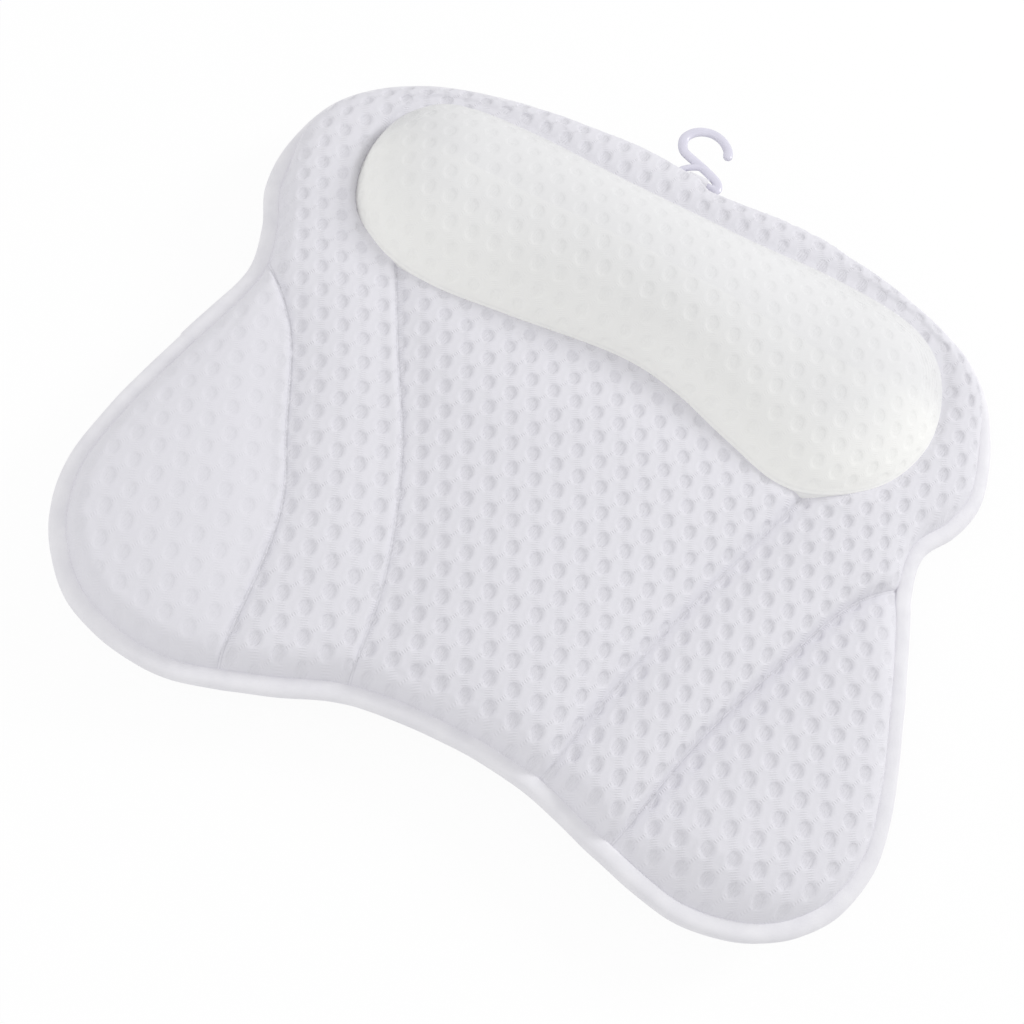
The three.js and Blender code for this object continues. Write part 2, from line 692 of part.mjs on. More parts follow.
// The origin is under the middle of the whole pillow, in the plane of the cup rims.
const extent = new THREE.Box3().setFromObject(pillow, true);
const middle = extent.getCenter(new THREE.Vector3());
pillow.position.set(-middle.x, -middle.y, 0);

export default pillow;
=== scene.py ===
import json
import math
from functools import partial

import bpy
import numpy as np
from mathutils import Matrix, Vector


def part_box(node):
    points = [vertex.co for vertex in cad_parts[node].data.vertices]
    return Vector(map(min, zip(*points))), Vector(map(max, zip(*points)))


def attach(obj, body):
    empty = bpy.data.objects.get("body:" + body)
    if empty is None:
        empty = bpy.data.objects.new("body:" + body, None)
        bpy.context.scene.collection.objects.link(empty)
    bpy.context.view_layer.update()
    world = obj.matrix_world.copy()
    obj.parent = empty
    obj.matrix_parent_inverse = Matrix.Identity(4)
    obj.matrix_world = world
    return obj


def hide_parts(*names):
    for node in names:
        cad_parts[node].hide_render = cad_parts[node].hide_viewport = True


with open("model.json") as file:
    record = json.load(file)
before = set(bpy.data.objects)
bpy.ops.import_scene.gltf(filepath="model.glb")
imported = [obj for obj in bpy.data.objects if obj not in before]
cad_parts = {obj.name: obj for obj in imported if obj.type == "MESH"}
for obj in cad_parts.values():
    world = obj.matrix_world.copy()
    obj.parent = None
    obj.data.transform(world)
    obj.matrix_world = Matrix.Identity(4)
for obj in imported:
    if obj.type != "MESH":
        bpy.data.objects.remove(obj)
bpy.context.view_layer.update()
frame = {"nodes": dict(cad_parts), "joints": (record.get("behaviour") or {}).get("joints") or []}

# Everything is worked out in millimetres. Places in plan count from the middle of the body,
# heights from the floor under the suction cups.
MM = 0.001
cup_boxes = [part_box(f"suction_cup_{number}") for number in range(1, 7)]
cup_middles = np.array([[(low.x + high.x) / 2, (low.y + high.y) / 2] for low, high in cup_boxes]) / MM
middle_cups_above_middle = 7.52
body_middle = (cup_middles[2] + cup_middles[3]) / 2 - [0, middle_cups_above_middle]
cup_places = cup_middles - body_middle

tape_low, tape_high = (corner.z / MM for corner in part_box("edge_binding"))
tape_height = (tape_low + tape_high) / 2
back_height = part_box("back_cover")[0].z / MM
headrest_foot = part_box("headrest_cover")[0].z / MM
headrest_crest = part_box("headrest_cover")[1].z / MM

# The covers.
cover_thickness = 2.3
tape_width = 9
hidden_in_tape = 3
front_flange = 2.4
pad_crown = 10.4
edge_run = 14
# The plane of the sewing rises from the edge towards the middle.
plane_rise = 4
plane_run = 20
# The right wing's lower corner is slack: its padding thins out evenly towards the edge.
slack_corner = (130, -172)
slack_spread = 26
slack_run = 26

# Round the head end the stuffed border rolls out over the tape: as part of an ellipse up to
# roll_top, measured from the edge, and level with the pads from roll_end.
roll_top = 20
roll_end = 36
roll_waist = 0.36
roll_take_up = 11

# Sewn channels, from the foot of the body upwards: their line, how far from it the padding is
# full again towards the middle and towards the edge, how far down it pulls the padding, how far
# beside it the cloth is gathered, how much, how sharp its crease is, and how round the padding
# is beyond it. The left ones are tight and narrow, the right ones slack and wide.
channels = {
    "inner_left": {
        "line": [
            (-45, -168), (-46.5, -154), (-53.8, -103.2), (-73.2, -46.9), (-99.6, 2), (-122.9, 46.7),
        ],
        "runs": (17, 4), "pull": 0.34, "gather": 14, "take_up": 1.6, "sharp": 0.9, "round": 2.5,
    },
    "inner_right": {
        "line": [
            (48, -168), (51.8, -155.6), (63.1, -113.9), (84.9, -52.3), (104.1, -6.8), (118.1, 28.4),
        ],
        "runs": (11, 30), "pull": 0.82, "gather": 29, "take_up": 2.8, "sharp": 0.55, "round": 1.8,
    },
    "wing_left": {
        "line": [
            (-100, -188), (-102.5, -172.9), (-110.1, -102.2), (-128.9, -59), (-152, -12.2),
            (-181.5, 19.1), (-192, 30),
        ],
        "runs": (16, 4), "pull": 0.36, "gather": 14, "take_up": 1.6, "sharp": 1.0, "round": 2.5,
    },
    "wing_right": {
        "line": [
            (90, -182), (93, -168.5), (110.9, -113.9), (133.9, -63.9), (158.2, -17), (181.3, 6.3),
            (196, 14),
        ],
        "runs": (8, 44), "pull": 1.0, "gather": 31, "take_up": 2.8, "sharp": 1.0, "round": 1.8,
    },
}
# How round the padding is on a channel's side towards the middle, and the crease along it.
round_inwards = 2.2
crease_width = 0.8
crease_depth = 0.34

# The back: how far from the edge and from a channel it is full, and how far a channel pulls it in.
back_edge_run = 16
back_run = 11
back_pull = 0.55
# Its holes for the cups' necks, and how far round a cup the cover stays flat.
hole_radius = 4.9
cup_clearance = 15

# The headrest: its base line and ridge, as shares of its half sizes, and how full its sides are.
headrest_half = np.array([170, 66])
headrest_middle = np.array([0, 91])
base_shares = [
    (0, -0.561), (0.206, -0.636), (0.412, -0.833), (0.612, -0.985), (0.794, -0.833),
    (0.941, -0.485), (1.012, 0.03), (0.971, 0.591), (0.824, 0.909), (0.529, 1.0),
    (0.176, 0.955), (-0.176, 0.955), (-0.529, 1.0), (-0.812, 0.924), (-0.941, 0.636),
    (-0.982, 0.182), (-0.929, -0.303), (-0.794, -0.606), (-0.606, -0.712), (-0.353, -0.659),
]
ridge_shares = [(-0.62, 0.13), (0.64, -0.02)]
ridge_end_heights = (0.9, 0.82)
lower_fullness = 1.78
upper_fullness = 1.85
top_fullness = 1.95
hem_height = 0.8
hem_half_width = 1.6
# The front cover dips to the headrest's foot over this run, and more steeply at its left end.
foot_run = 9

# The air mesh's dimples: ovals in a staggered lattice, given as one step across and two rows up.
dimple_step = np.array([12.2, -0.27])
two_rows = np.array([0.94, 24.01])
dimple_start = np.array([0.74, -55.51])
dimple_radii = (3.15, 3.95)
dimple_tilt = math.radians(8)
dimple_depth = 1.2
# How the lattice lies beyond a channel, in the same two steps.
lattice_beyond = {
    "inner_left": ((12.24, -1.32), (1.62, 22.34)),
    "inner_right": ((11.38, -1.5), (0.88, 23.24)),
    "wing_right": ((12.68, 0.27), (1.4, 22.09)),
}
# How deep the dimples are beyond a channel, as a share of their depth in the centre panel.
relief_beyond = {"inner_left": 0.9, "wing_left": 0.42, "inner_right": 1.0, "wing_right": 0.95}
headrest_relief = 0.3
ridge_below_crest = 0.5

# The steps of the covers' grids, and what swells them: a pressure inside for some moments.
fine_step = 1.0
simulated_step = 4.2
pressure = 4
moments = 20
# The materials read how far it is to a seam up to here.
far_from_seam = 20


# ---- Lines on the body ----

def line_through(points, closed=False, step=2.5):
    """Points a step apart on a smooth curve through the given ones."""
    points = np.array(points, float)
    if closed:
        ends = np.vstack([points[-1], points, points[:2]])
    else:
        ends = np.vstack([2 * points[0] - points[1], points, 2 * points[-1] - points[-2]])
    t = np.linspace(0, 1, 24, endpoint=False)[:, None]
    spans = [
        b + t / 2 * (c - a + t * (2 * a - 5 * b + 4 * c - d + t * (3 * (b - c) + d - a)))
        for a, b, c, d in zip(ends, ends[1:], ends[2:], ends[3:])
    ]
    curve = np.vstack([*spans, points[:1] if closed else points[-1:]])
    along = np.r_[0, np.cumsum(np.linalg.norm(np.diff(curve, axis=0), axis=1))]
    places = np.linspace(0, along[-1], round(along[-1] / step) + 1)
    line = np.stack([np.interp(places, along, curve[:, k]) for k in (0, 1)], axis=1)
    return line[:-1] if closed else line


def tape_nose():
    """The outer edge of the frame's edge tape: one point of each section, in order round the body."""
    corners = np.array([vertex.co for vertex in frame["nodes"]["edge_binding"].data.vertices]) / MM
    above_middle = corners[:, 2] - tape_height
    nose = corners[(above_middle > 0) & (above_middle < (tape_high - tape_low) / 4)]
    nose = np.unique(nose[:, :2].round(3), axis=0) - body_middle
    return nose[np.argsort(np.arctan2(nose[:, 1], nose[:, 0]))]


outline = line_through(tape_nose(), closed=True)
base_line = line_through(np.array(base_shares) * headrest_half + headrest_middle, closed=True)
ridge_left, ridge_right = np.array(ridge_shares) * headrest_half + headrest_middle
for channel in channels.values():
    channel["line"] = line_through(channel["line"])


def beside(line, places, closed=False):
    """How far each place is to the left of a line, and the foot and left normal there."""
    starts = line if closed else line[:-1]
    runs = (np.roll(line, -1, axis=0) if closed else line[1:]) - starts
    nearest = np.full(len(places), np.inf)
    foot = np.zeros((len(places), 2))
    normal = np.zeros((len(places), 2))
    for start, run in zip(starts, runs):
        away = places - start
        share = np.clip(away @ run / (run @ run), 0, 1)
        gap = away - share[:, None] * run
        distance = np.hypot(gap[:, 0], gap[:, 1])
        closer = distance < nearest
        nearest[closer] = distance[closer]
        foot[closer] = places[closer] - gap[closer]
        normal[closer] = (-run[1] / np.hypot(*run), run[0] / np.hypot(*run))
    side = np.sign(((places - foot) * normal).sum(axis=1))
    return nearest * side, foot, normal


def ease(value, low, high):
    """A smooth step from 0 at low to 1 at high."""
    t = np.clip((value - low) / (high - low), 0, 1)
    return t * t * (3 - 2 * t)


def puff(distance, run, how_round=2.5):
    """How full the padding is at a distance from where it is sewn down."""
    return 1 - (1 - np.clip(distance / run, 0, 1)) ** how_round


# ---- The cloth's heights ----

def head_roll(places, edge):
    """The border round the head end: how far it is rolled, its distance from the edge and its rise."""
    x, y = places.T
    rolled = np.where(x < 0, ease(y, 60, 110), ease(y, 95, 135))
    # The roll is wider round the left shoulder and left of the hook.
    width = roll_top - tape_width + 0.6 + 3.4 * ease(-x, 165, 205)
    width += 2 * ease(x, -105, -80) * ease(-x, -98, -80)
    width += 5.4 * ease(x, -84, -20) * ease(-x, -10, 2)
    start = -np.arccos((roll_top - tape_width) / width)
    along = (edge - tape_width) / (roll_end - tape_width)
    turned = np.clip(along / 0.6, 0, 1)
    angle = start + (math.pi / 2 - start) * (turned + 0.15 * np.sin(math.pi * turned))
    level = (roll_end - roll_top) * np.clip((along - 0.6) / 0.4, 0, 1)
    from_edge = roll_top - width * np.cos(angle) + level
    from_edge = np.where((along > 0) & (along < 1), from_edge, edge)
    below = roll_waist * (1 - np.sin(angle) / np.sin(start))
    rise = np.where(angle < 0, below, roll_waist + (1 - roll_waist) * np.sin(angle))
    return rolled, from_edge, np.where(along > 0, rise, 0)


def facts_at(places):
    """How far each place is from the edge, from the headrest and beyond each channel."""
    edge, edge_foot, inwards = beside(outline, places, closed=True)
    rolled, from_edge, rise = head_roll(places, edge)
    facts = {
        "edge": edge,
        "edge_foot": edge_foot,
        "inwards": inwards,
        "rolled": rolled,
        "rolled_out": rolled * (edge - from_edge),
        "rise": rise,
        "headrest": -beside(base_line, places, closed=True)[0],
        "dip": foot_dip(places),
        "foot_run": foot_run - 5 * ease(-places[:, 0], 125, 160) - 3 * ease(places[:, 1], 112, 140),
        "slack": np.exp(-((places - slack_corner) ** 2).sum(axis=1) / (2 * slack_spread**2)),
    }
    for name, channel in channels.items():
        distance, foot, normal = beside(channel["line"], places)
        outwards = 1 if name.endswith("left") else -1
        facts[name] = distance * outwards
        facts[name + "_foot"] = foot
        facts[name + "_out"] = normal * outwards
    return facts


def sewn_height(facts):
    """The height of the plane in which the two covers are sewn together."""
    return tape_height + plane_rise * puff(facts["edge"] - tape_width - 1, plane_run)


def foot_dip(places):
    """How far the front cover dips to the headrest's foot: little, and more at its left end."""
    x, y = places.T
    return 0.26 + 0.46 * ease(-x, 138, 166) * ease(-y, -135, -100) - 0.12 * ease(y, 112, 140)


def front_height(facts):
    """The height of the front cover's face, without its dimples."""
    rolled, rise = facts["rolled"], facts["rise"]
    fill = 1 - facts["dip"] * (1 - puff(facts["headrest"], facts["foot_run"]))
    crease = 0
    for name, channel in channels.items():
        distance = abs(facts[name])
        run = np.where(facts[name] < 0, *channel["runs"])
        how_round = np.where(facts[name] < 0, round_inwards, channel["round"])
        fill = fill * (1 - channel["pull"] * (1 - puff(distance, run, how_round)))
        crease = crease + channel["sharp"] * np.exp(-distance / crease_width)
    crease = np.where(facts["headrest"] > 0, crease, 0)
    edge_fill = puff(facts["edge"] - tape_width + 1, edge_run)
    thinned = np.clip((facts["edge"] - tape_width) / slack_run, 0, 1)
    edge_fill += facts["slack"] * (thinned - edge_fill)
    edge_fill += rolled * (rise - edge_fill)
    sewn = sewn_height(facts)
    sewn += rolled * (tape_height + plane_rise * rise - sewn)
    return sewn + front_flange + pad_crown * fill * edge_fill - crease_depth * crease


def back_face_height(facts):
    """The height of the back cover's face."""
    fill = puff(facts["edge"] - tape_width, back_edge_run)
    for name in channels:
        fill = fill * (1 - back_pull * (1 - puff(abs(facts[name]), back_run)))
    sewn = sewn_height(facts) - front_flange
    return sewn - (sewn - back_height) * fill


def cover_face(places, facts, outwards):
    """The face of the front cover, which is rolled out round the head end, or of the back cover."""
    if outwards < 0:
        return np.column_stack([places, back_face_height(facts)])
    plan = places - facts["inwards"] * facts["rolled_out"][:, None]
    return np.column_stack([plan, front_height(facts)])


def steps_in(across, up):
    """The matrix that turns millimetres into steps of a lattice."""
    return np.linalg.inv(np.stack([across, up], axis=1))


dimple_steps = steps_in(dimple_step, two_rows)


def cloth_place(places, facts):
    """The place in the cloth in steps of its lattice. Dimples sit at whole and half numbers."""
    rolled_up = facts["rolled"] * np.clip((roll_end - facts["edge"]) / (roll_end - tape_width), 0, 1)
    pulled = places - facts["inwards"] * (roll_take_up * rolled_up)[:, None]
    for name, channel in channels.items():
        beyond = facts[name]
        left = (1 - np.clip(abs(beyond) / channel["gather"], 0, 1)) ** 4
        taken = channel["take_up"] * np.where(beyond > 0, 2 - left, left)
        pulled += facts[name + "_out"] * (taken * (1 - ease(facts["headrest"], 60, 0)))[:, None]
    cloth = (pulled - dimple_start) @ dimple_steps.T
    below_shoulder = 1 - ease(places[:, 1], 20, 90)
    for name, lattice in lattice_beyond.items():
        before = steps_in(*lattice_beyond["inner_right"]) if name == "wing_right" else dimple_steps
        lean = (places - facts[name + "_foot"]) @ (steps_in(*lattice) - before).T
        cloth += lean * (below_shoulder * (facts[name] > 0))[:, None]
    return cloth


def dimple_pit(cloth):
    """How deep the cloth is pressed in at each place, as a share of a dimple's depth."""
    nearest = np.full(len(cloth), 9.0)
    size = np.array([np.hypot(*dimple_step), np.hypot(*two_rows)])
    for shift in (0, 0.5):
        x, y = ((np.mod(cloth + shift, 1) - 0.5) * size).T
        across = x * math.cos(dimple_tilt) + y * math.sin(dimple_tilt)
        along = y * math.cos(dimple_tilt) - x * math.sin(dimple_tilt)
        nearest = np.minimum(nearest, np.hypot(across / dimple_radii[0], along / dimple_radii[1]))
    lip = np.exp(-(((nearest - 1.42) / 0.24) ** 2))
    return 1 - ease(nearest, 0.55, 1.25) - 0.14 * lip


def relief_at(facts):
    """How strong the dimples are at each place."""
    relief = np.ones(len(facts["edge"]))
    for name, share in relief_beyond.items():
        relief += (share - relief) * ease(facts[name], -3, 5)
    return relief * (0.6 + 0.4 * np.maximum(ease(facts["edge"], 10, 24), facts["rolled"]))


# ---- Meshes of cloth ----

def cloth_grid(step, spread, middle):
    """Rows of places in line with the dimples, a step apart, that cover a spread round a middle."""
    across, up = dimple_step / 12 * step, two_rows / 24 * step
    corners = np.array([(x, y) for x in (-1, 1) for y in (-1, 1)]) * spread + middle - dimple_start
    spans = np.linalg.solve(np.stack([across, up], axis=1), corners.T)
    columns, rows = (np.arange(math.floor(span.min()), math.ceil(span.max()) + 1) for span in spans)
    return dimple_start + columns[:, None, None] * across + rows[None, :, None] * up


def cloth_faces(kept, sewn):
    """Triangles over the kept places of a grid. A cell is cut along a sewn line that crosses it, and
    never so that a triangle has all its corners on the line."""
    number = np.where(kept, np.cumsum(kept).reshape(kept.shape) - 1, -1)
    a, b, c, d = number[:-1, :-1], number[1:, :-1], number[1:, 1:], number[:-1, 1:]
    on_a, on_b, on_c, on_d = sewn[:-1, :-1], sewn[1:, :-1], sewn[1:, 1:], sewn[:-1, 1:]
    cut_other_way = (on_b & on_d & ~on_a & ~on_c) | (on_a & on_c & (on_b != on_d))
    whole = np.minimum.reduce((a, b, c, d)) >= 0
    faces = []
    for corners, plain in (((a, b, c), 1), ((a, c, d), 1), ((a, b, d), 0), ((b, c, d), 0)):
        there = np.minimum.reduce(corners) >= 0
        chosen = there & ((cut_other_way != plain) | ~whole)
        faces.append(np.stack([corner[chosen] for corner in corners], axis=1))
    return np.vstack(faces)


def normals_of(points, faces):
    """The direction in which the cloth faces at each point."""
    a, b, c = (points[faces[:, k]] for k in range(3))
    across = np.cross(b - a, c - a)
    total = np.zeros((len(points), 3))
    for axis in range(3):
        total[:, axis] = sum(np.bincount(faces[:, k], across[:, axis], len(points)) for k in range(3))
    return total / np.maximum(np.linalg.norm(total, axis=1, keepdims=True), 1e-9)


def closed_skin(face, lining, triangles):
    """A face and its lining made one closed skin by a strip along each rim."""
    count = len(face)
    edges = np.vstack([triangles[:, [0, 1]], triangles[:, [1, 2]], triangles[:, [2, 0]]])
    key = edges.min(axis=1) * count + edges.max(axis=1)
    _, first, times = np.unique(key, return_index=True, return_counts=True)
    a, b = edges[first[times == 1]].T
    strip = np.vstack([np.stack([b, a, a + count], axis=1), np.stack([b, a + count, b + count], axis=1)])
    return np.vstack([face, lining]), np.vstack([triangles, triangles[:, ::-1] + count, strip])


def new_cover(name, face, lining, triangles, slot, node, cloth, relief, seam_gap, sharp):
    """A cover from its face and lining in millimetres. Each side has the map of its cloth's lattice,
    how strong the dimples are, how many millimetres it is to a seam, and how sharp the seam is."""
    points, faces = closed_skin(face, lining, triangles)
    mesh = bpy.data.meshes.new(name)
    mesh.from_pydata((points + [*body_middle, 0]) * MM, [], faces)
    mesh.polygons.foreach_set("use_smooth", np.ones(len(mesh.polygons), bool))
    corners = np.empty(len(mesh.loops), int)
    mesh.loops.foreach_get("vertex_index", corners)
    lattice = mesh.uv_layers.new(name="cloth")
    lattice.data.foreach_set("uv", np.tile(cloth, (2, 1))[corners].ravel())
    seam_gap = np.clip(seam_gap, 0, far_from_seam)
    for mark, values in (("relief", relief), ("seam_gap", seam_gap), ("sharp", sharp)):
        attribute = mesh.attributes.new(mark, "FLOAT", "POINT")
        attribute.data.foreach_set("value", np.tile(values, 2))
    cover = new_object(name, mesh)
    dress(cover, slot, node)
    return cover


def new_object(name, mesh):
    """A new object in the scene, with a mesh."""
    piece = bpy.data.objects.new(name, mesh)
    bpy.context.collection.objects.link(piece)
    return piece


def dress(piece, slot, node, body="pillow"):
    """Gives a piece the finish of its slot, hides the frame's node that it stands for and hangs it on
    its body.
    """
    piece.data.materials.clear()
    piece.data.materials.append(finishes[slot])
    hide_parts(node)
    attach(piece, body)


def swelling(points, faces, held, most):
    """How the padding's pressure moves each point of a cover whose held points are sewn down."""
    mesh = bpy.data.meshes.new("swelling")
    mesh.from_pydata(points * MM, [], faces)
    cover = new_object("swelling", mesh)
    sewn = cover.vertex_groups.new(name="sewn")
    sewn.add([int(point) for point in np.flatnonzero(held)], 1, "REPLACE")
    cloth = cover.modifiers.new("cloth", "CLOTH").settings
    cloth.vertex_group_mass = sewn.name
    cloth.use_pressure = True
    cloth.uniform_pressure_force = pressure
    cloth.effector_weights.gravity = 0
    for moment in range(1, moments + 1):
        bpy.context.scene.frame_set(moment)
    swollen = cover.evaluated_get(bpy.context.evaluated_depsgraph_get())
    moved = np.empty(len(points) * 3)
    swollen.data.vertices.foreach_get("co", moved)
    bpy.data.objects.remove(cover)
    bpy.context.scene.frame_set(1)
    move = moved.reshape(-1, 3) / MM - points
    length = np.linalg.norm(move, axis=1, keepdims=True)
    return move * most * np.tanh(length / most) / np.maximum(length, 1e-6)


def read_between(grid, kept, values):
    """A reader of values that are known at the kept places of a coarse grid."""
    full = np.zeros((*kept.shape, values.shape[1]))
    full[kept] = values
    steps = np.stack([grid[1, 0] - grid[0, 0], grid[0, 1] - grid[0, 0]], axis=1)

    def read(places):
        i, j = np.linalg.solve(steps, (places - grid[0, 0]).T)
        i = np.clip(i, 0, kept.shape[0] - 1.001)
        j = np.clip(j, 0, kept.shape[1] - 1.001)
        i0, j0 = i.astype(int), j.astype(int)
        u, v = (i - i0)[:, None], (j - j0)[:, None]
        low = full[i0, j0] * (1 - u) + full[i0 + 1, j0] * u
        high = full[i0, j0 + 1] * (1 - u) + full[i0 + 1, j0 + 1] * u
        return low * (1 - v) + high * v

    return read


# ---- The front and back covers ----

def cut_cover(step, holes=()):
    """A cover cut out of the cloth: its grid, which places it keeps, which are sewn, and their facts."""
    grid = cloth_grid(step, np.array([222, 200]), np.zeros(2))
    places = grid.reshape(-1, 2).copy()
    facts = facts_at(places)
    reach = 0.5 * step
    edge_gap = facts["edge"] - hidden_in_tape
    at_edge = abs(edge_gap) < reach
    places[at_edge] = (facts["edge_foot"] + facts["inwards"] * hidden_in_tape)[at_edge]
    sewn = at_edge.copy()
    for name in channels:
        near = (abs(facts[name]) < reach) & (edge_gap > 2 * step)
        places[near] = facts[name + "_foot"][near]
        sewn |= near
    kept = (edge_gap > 0) | at_edge
    for middle in holes:
        away = places - middle
        distance = np.hypot(*away.T)
        at_hole = abs(distance - hole_radius) < reach
        places[at_hole] = middle + away[at_hole] / distance[at_hole, None] * hole_radius
        kept &= (distance > hole_radius) | at_hole
    moved = kept & (places != grid.reshape(-1, 2)).any(axis=1)
    again = facts_at(places[moved])
    for name, values in facts.items():
        values[moved] = again[name]
    facts = {name: values[kept] for name, values in facts.items()}
    shape = grid.shape[:2]
    return places[kept], facts, kept.reshape(shape), sewn.reshape(shape), grid


def padding_push(outwards, holes, most):
    """A reader of how far the padding pushes a cover out at any place."""
    places, facts, kept, sewn, grid = cut_cover(simulated_step, holes)
    triangles = cloth_faces(kept, sewn)[:, ::outwards]
    held = sewn[kept] | (facts["edge"] < tape_width)
    if outwards > 0:
        held |= facts["headrest"] < 2
    for middle in holes:
        held |= np.hypot(*(places - middle).T) < cup_clearance
    move = swelling(cover_face(places, facts, outwards), triangles, held, most)
    return read_between(grid, kept, move)


def nearest_channel(facts):
    """How far each place is from the nearest sewn channel that shows, and how sharp that is."""
    gaps = np.stack([abs(facts[name]) for name in channels])
    sharp = np.array([channel["sharp"] for channel in channels.values()])[gaps.argmin(axis=0)]
    return np.where(facts["headrest"] > -1, gaps.min(axis=0), far_from_seam), sharp


def nearest_seam(facts):
    """How far each place is from the nearest sewn line, the tape or the headrest."""
    from_tape, from_headrest = facts["edge"] - tape_width, abs(facts["headrest"])
    return np.minimum.reduce([nearest_channel(facts)[0], from_tape, from_headrest])


def make_cover(name, slot, node, outwards, step, most):
    """The quilted front, one sheet of air mesh that runs on flat under the headrest, or the back of
    the same mesh, which is flatter and has a hole for each cup's neck. On the front the dimples
    stop short of the seams, where the stitches hold the cloth flat."""
    holes = () if outwards > 0 else cup_places
    push_at = padding_push(outwards, holes, most)
    places, facts, kept, sewn, _ = cut_cover(step, holes)
    off_cups = np.ones(len(places))
    for middle in holes:
        off_cups *= ease(np.hypot(*(places - middle).T), hole_radius, cup_clearance)
    face = cover_face(places, facts, outwards)
    face += push_at(places) * (ease(nearest_seam(facts), 0, 7) * off_cups)[:, None]
    triangles = cloth_faces(kept, sewn)[:, ::outwards]
    facing = normals_of(face, triangles)
    facing[facts["edge"] < tape_width - 1] = (0, 0, outwards)
    lining = face - facing * cover_thickness
    if outwards > 0:
        relief = relief_at(facts)
        free = ease(facts["edge"], tape_width, tape_width + 4) * ease(nearest_seam(facts), 0.6, 3.2)
    else:
        relief = 0.8 * off_cups
        free = ease(facts["edge"], tape_width - 2, tape_width + 4)
    cloth = cloth_place(places, facts)
    face -= facing * (dimple_depth * dimple_pit(cloth) * relief * free)[:, None]
    marks = cloth, relief, *nearest_channel(facts)
    cover = new_cover(name, face, lining, triangles, slot, node, *marks)


# ---- The headrest ----

def headrest_side(way, half, rise):
    """The dome's side below each place on the ridge, in steps down: how far out and how high it is,
    and how long the cloth is to there."""
    climb = np.linspace(0, math.pi / 2, 60)
    upper = ease(way[:, 1], -0.5, 0.7)[:, None]
    fullness = lower_fullness + (upper_fullness - lower_fullness) * upper
    out = half[:, None] * np.sin(climb) ** (2 / fullness)
    up = rise[:, None] * np.cos(climb) ** (2 / top_fullness)
    passed = np.cumsum(np.hypot(np.diff(out, axis=1), np.diff(up, axis=1)), axis=1)
    return out, up, np.hstack([np.zeros((len(half), 1)), passed])


def headrest_rays(places):
    """Where each place of the cloth hangs from the ridge, which way it runs down, how far along,
    how far off the base line is there, and how high the ridge."""
    along = ridge_right - ridge_left
    at = np.clip((places - ridge_left) @ along / (along @ along), 0, 1)
    hung = ridge_left + at[:, None] * along
    left_end, right_end = ridge_end_heights
    height = 1 - (1 - left_end) * ease(at, 0.45, 0) - (1 - right_end) * ease(at, 0.5, 1)
    height *= headrest_crest - headrest_foot - ridge_below_crest
    way = places - hung
    length = np.hypot(*way.T)
    way = np.where(length[:, None] > 1e-6, way / np.maximum(length, 1e-6)[:, None], [0, 1])
    half = np.zeros(len(places))
    for start, run in zip(base_line, np.roll(base_line, -1, axis=0) - base_line):
        gap = start - hung
        turn = way[:, 0] * run[1] - way[:, 1] * run[0]
        turn = np.where(abs(turn) < 1e-9, 1e-9, turn)
        reach = (gap[:, 0] * run[1] - gap[:, 1] * run[0]) / turn
        share = (gap[:, 0] * way[:, 1] - gap[:, 1] * way[:, 0]) / turn
        half = np.where((share >= 0) & (share <= 1) & (reach > half), reach, half)
    return hung, way, length, half, height


def cut_headrest(step):
    """The headrest's cloth, laid over its dome: points, how far the cloth runs on to the foot, the
    hem's height, places in the lattice, and whether they are behind the ridge."""
    grid = cloth_grid(step, np.array([215, 125]), headrest_middle)
    places = grid.reshape(-1, 2).copy()
    hung, way, length, half, rise = headrest_rays(places)
    out, up, passed = headrest_side(way, half, rise)
    whole = passed[:, -1]
    at_foot = abs(length - whole) < 0.5 * step
    kept = (length < whole) | at_foot
    length = np.where(at_foot, whole, length)
    below = np.clip((passed < length[:, None]).sum(axis=1) - 1, 0, passed.shape[1] - 2)
    row = np.arange(len(places))
    share = (length - passed[row, below]) / (passed[row, below + 1] - passed[row, below])
    out = out[row, below] + share * (out[row, below + 1] - out[row, below])
    up = up[row, below] + share * (up[row, below + 1] - up[row, below])
    points = np.column_stack([hung + way * out[:, None], headrest_foot + 0.1 + up])[kept]
    places = (hung + way * length[:, None])[kept]
    cloth = (places - dimple_start) @ dimple_steps.T
    to_foot = (whole - length)[kept]
    hem = pad_crown * (1 - foot_dip((hung + way * half[:, None])[kept])) - 0.2
    behind = ease(way[kept, 1], -0.1, 0.5)
    shape = grid.shape[:2]
    return points, to_foot, hem, cloth, behind, kept.reshape(shape), at_foot.reshape(shape), grid


def make_headrest():
    """The headrest: a dome of warmer mesh whose rolled hem lies on the front cover."""
    points, to_foot, hem_place, cloth, behind, kept, at_foot, grid = cut_headrest(fine_step)
    triangles = cloth_faces(kept, at_foot)
    coarse, gap, _, _, _, coarse_kept, coarse_foot, coarse_grid = cut_headrest(simulated_step)
    move = swelling(coarse, cloth_faces(coarse_kept, coarse_foot), gap < 8, 3)
    push = read_between(coarse_grid, coarse_kept, move)(grid[kept])
    points = points + push * ease(to_foot, 8, 18)[:, None]
    facing = normals_of(points, triangles)
    lining = points - facing * cover_thickness
    lining[:, 2] = np.maximum(lining[:, 2], headrest_foot + 0.1)
    from_hem = to_foot - hem_place
    hem = hem_height * np.exp(-((from_hem / hem_half_width) ** 2))
    relief = ease(from_hem, 2, 6)
    pit = dimple_depth * headrest_relief * dimple_pit(cloth) * relief
    face = points + facing * (hem - pit)[:, None]
    face[:, 2] = np.maximum(face[:, 2], headrest_foot + 0.1)
    # On the dome the hem stands in for a seam and the front side for a sharp one: there the finish
    # paints a highlight along the hem, shade beside it and light towards it.
    headrest = new_cover(
        "headrest_dome", face, lining, triangles, "headrest_mesh", "headrest_cover",
        cloth, relief, 0.4 * abs(from_hem), 1 - behind,
    )


# ---- Tools for single pieces ----

def select_only(*pieces):
    """Selects these pieces and makes the first one active."""
    bpy.ops.object.select_all(action="DESELECT")
    for piece in pieces:
        piece.select_set(True)
    bpy.context.view_layer.objects.active = pieces[0]


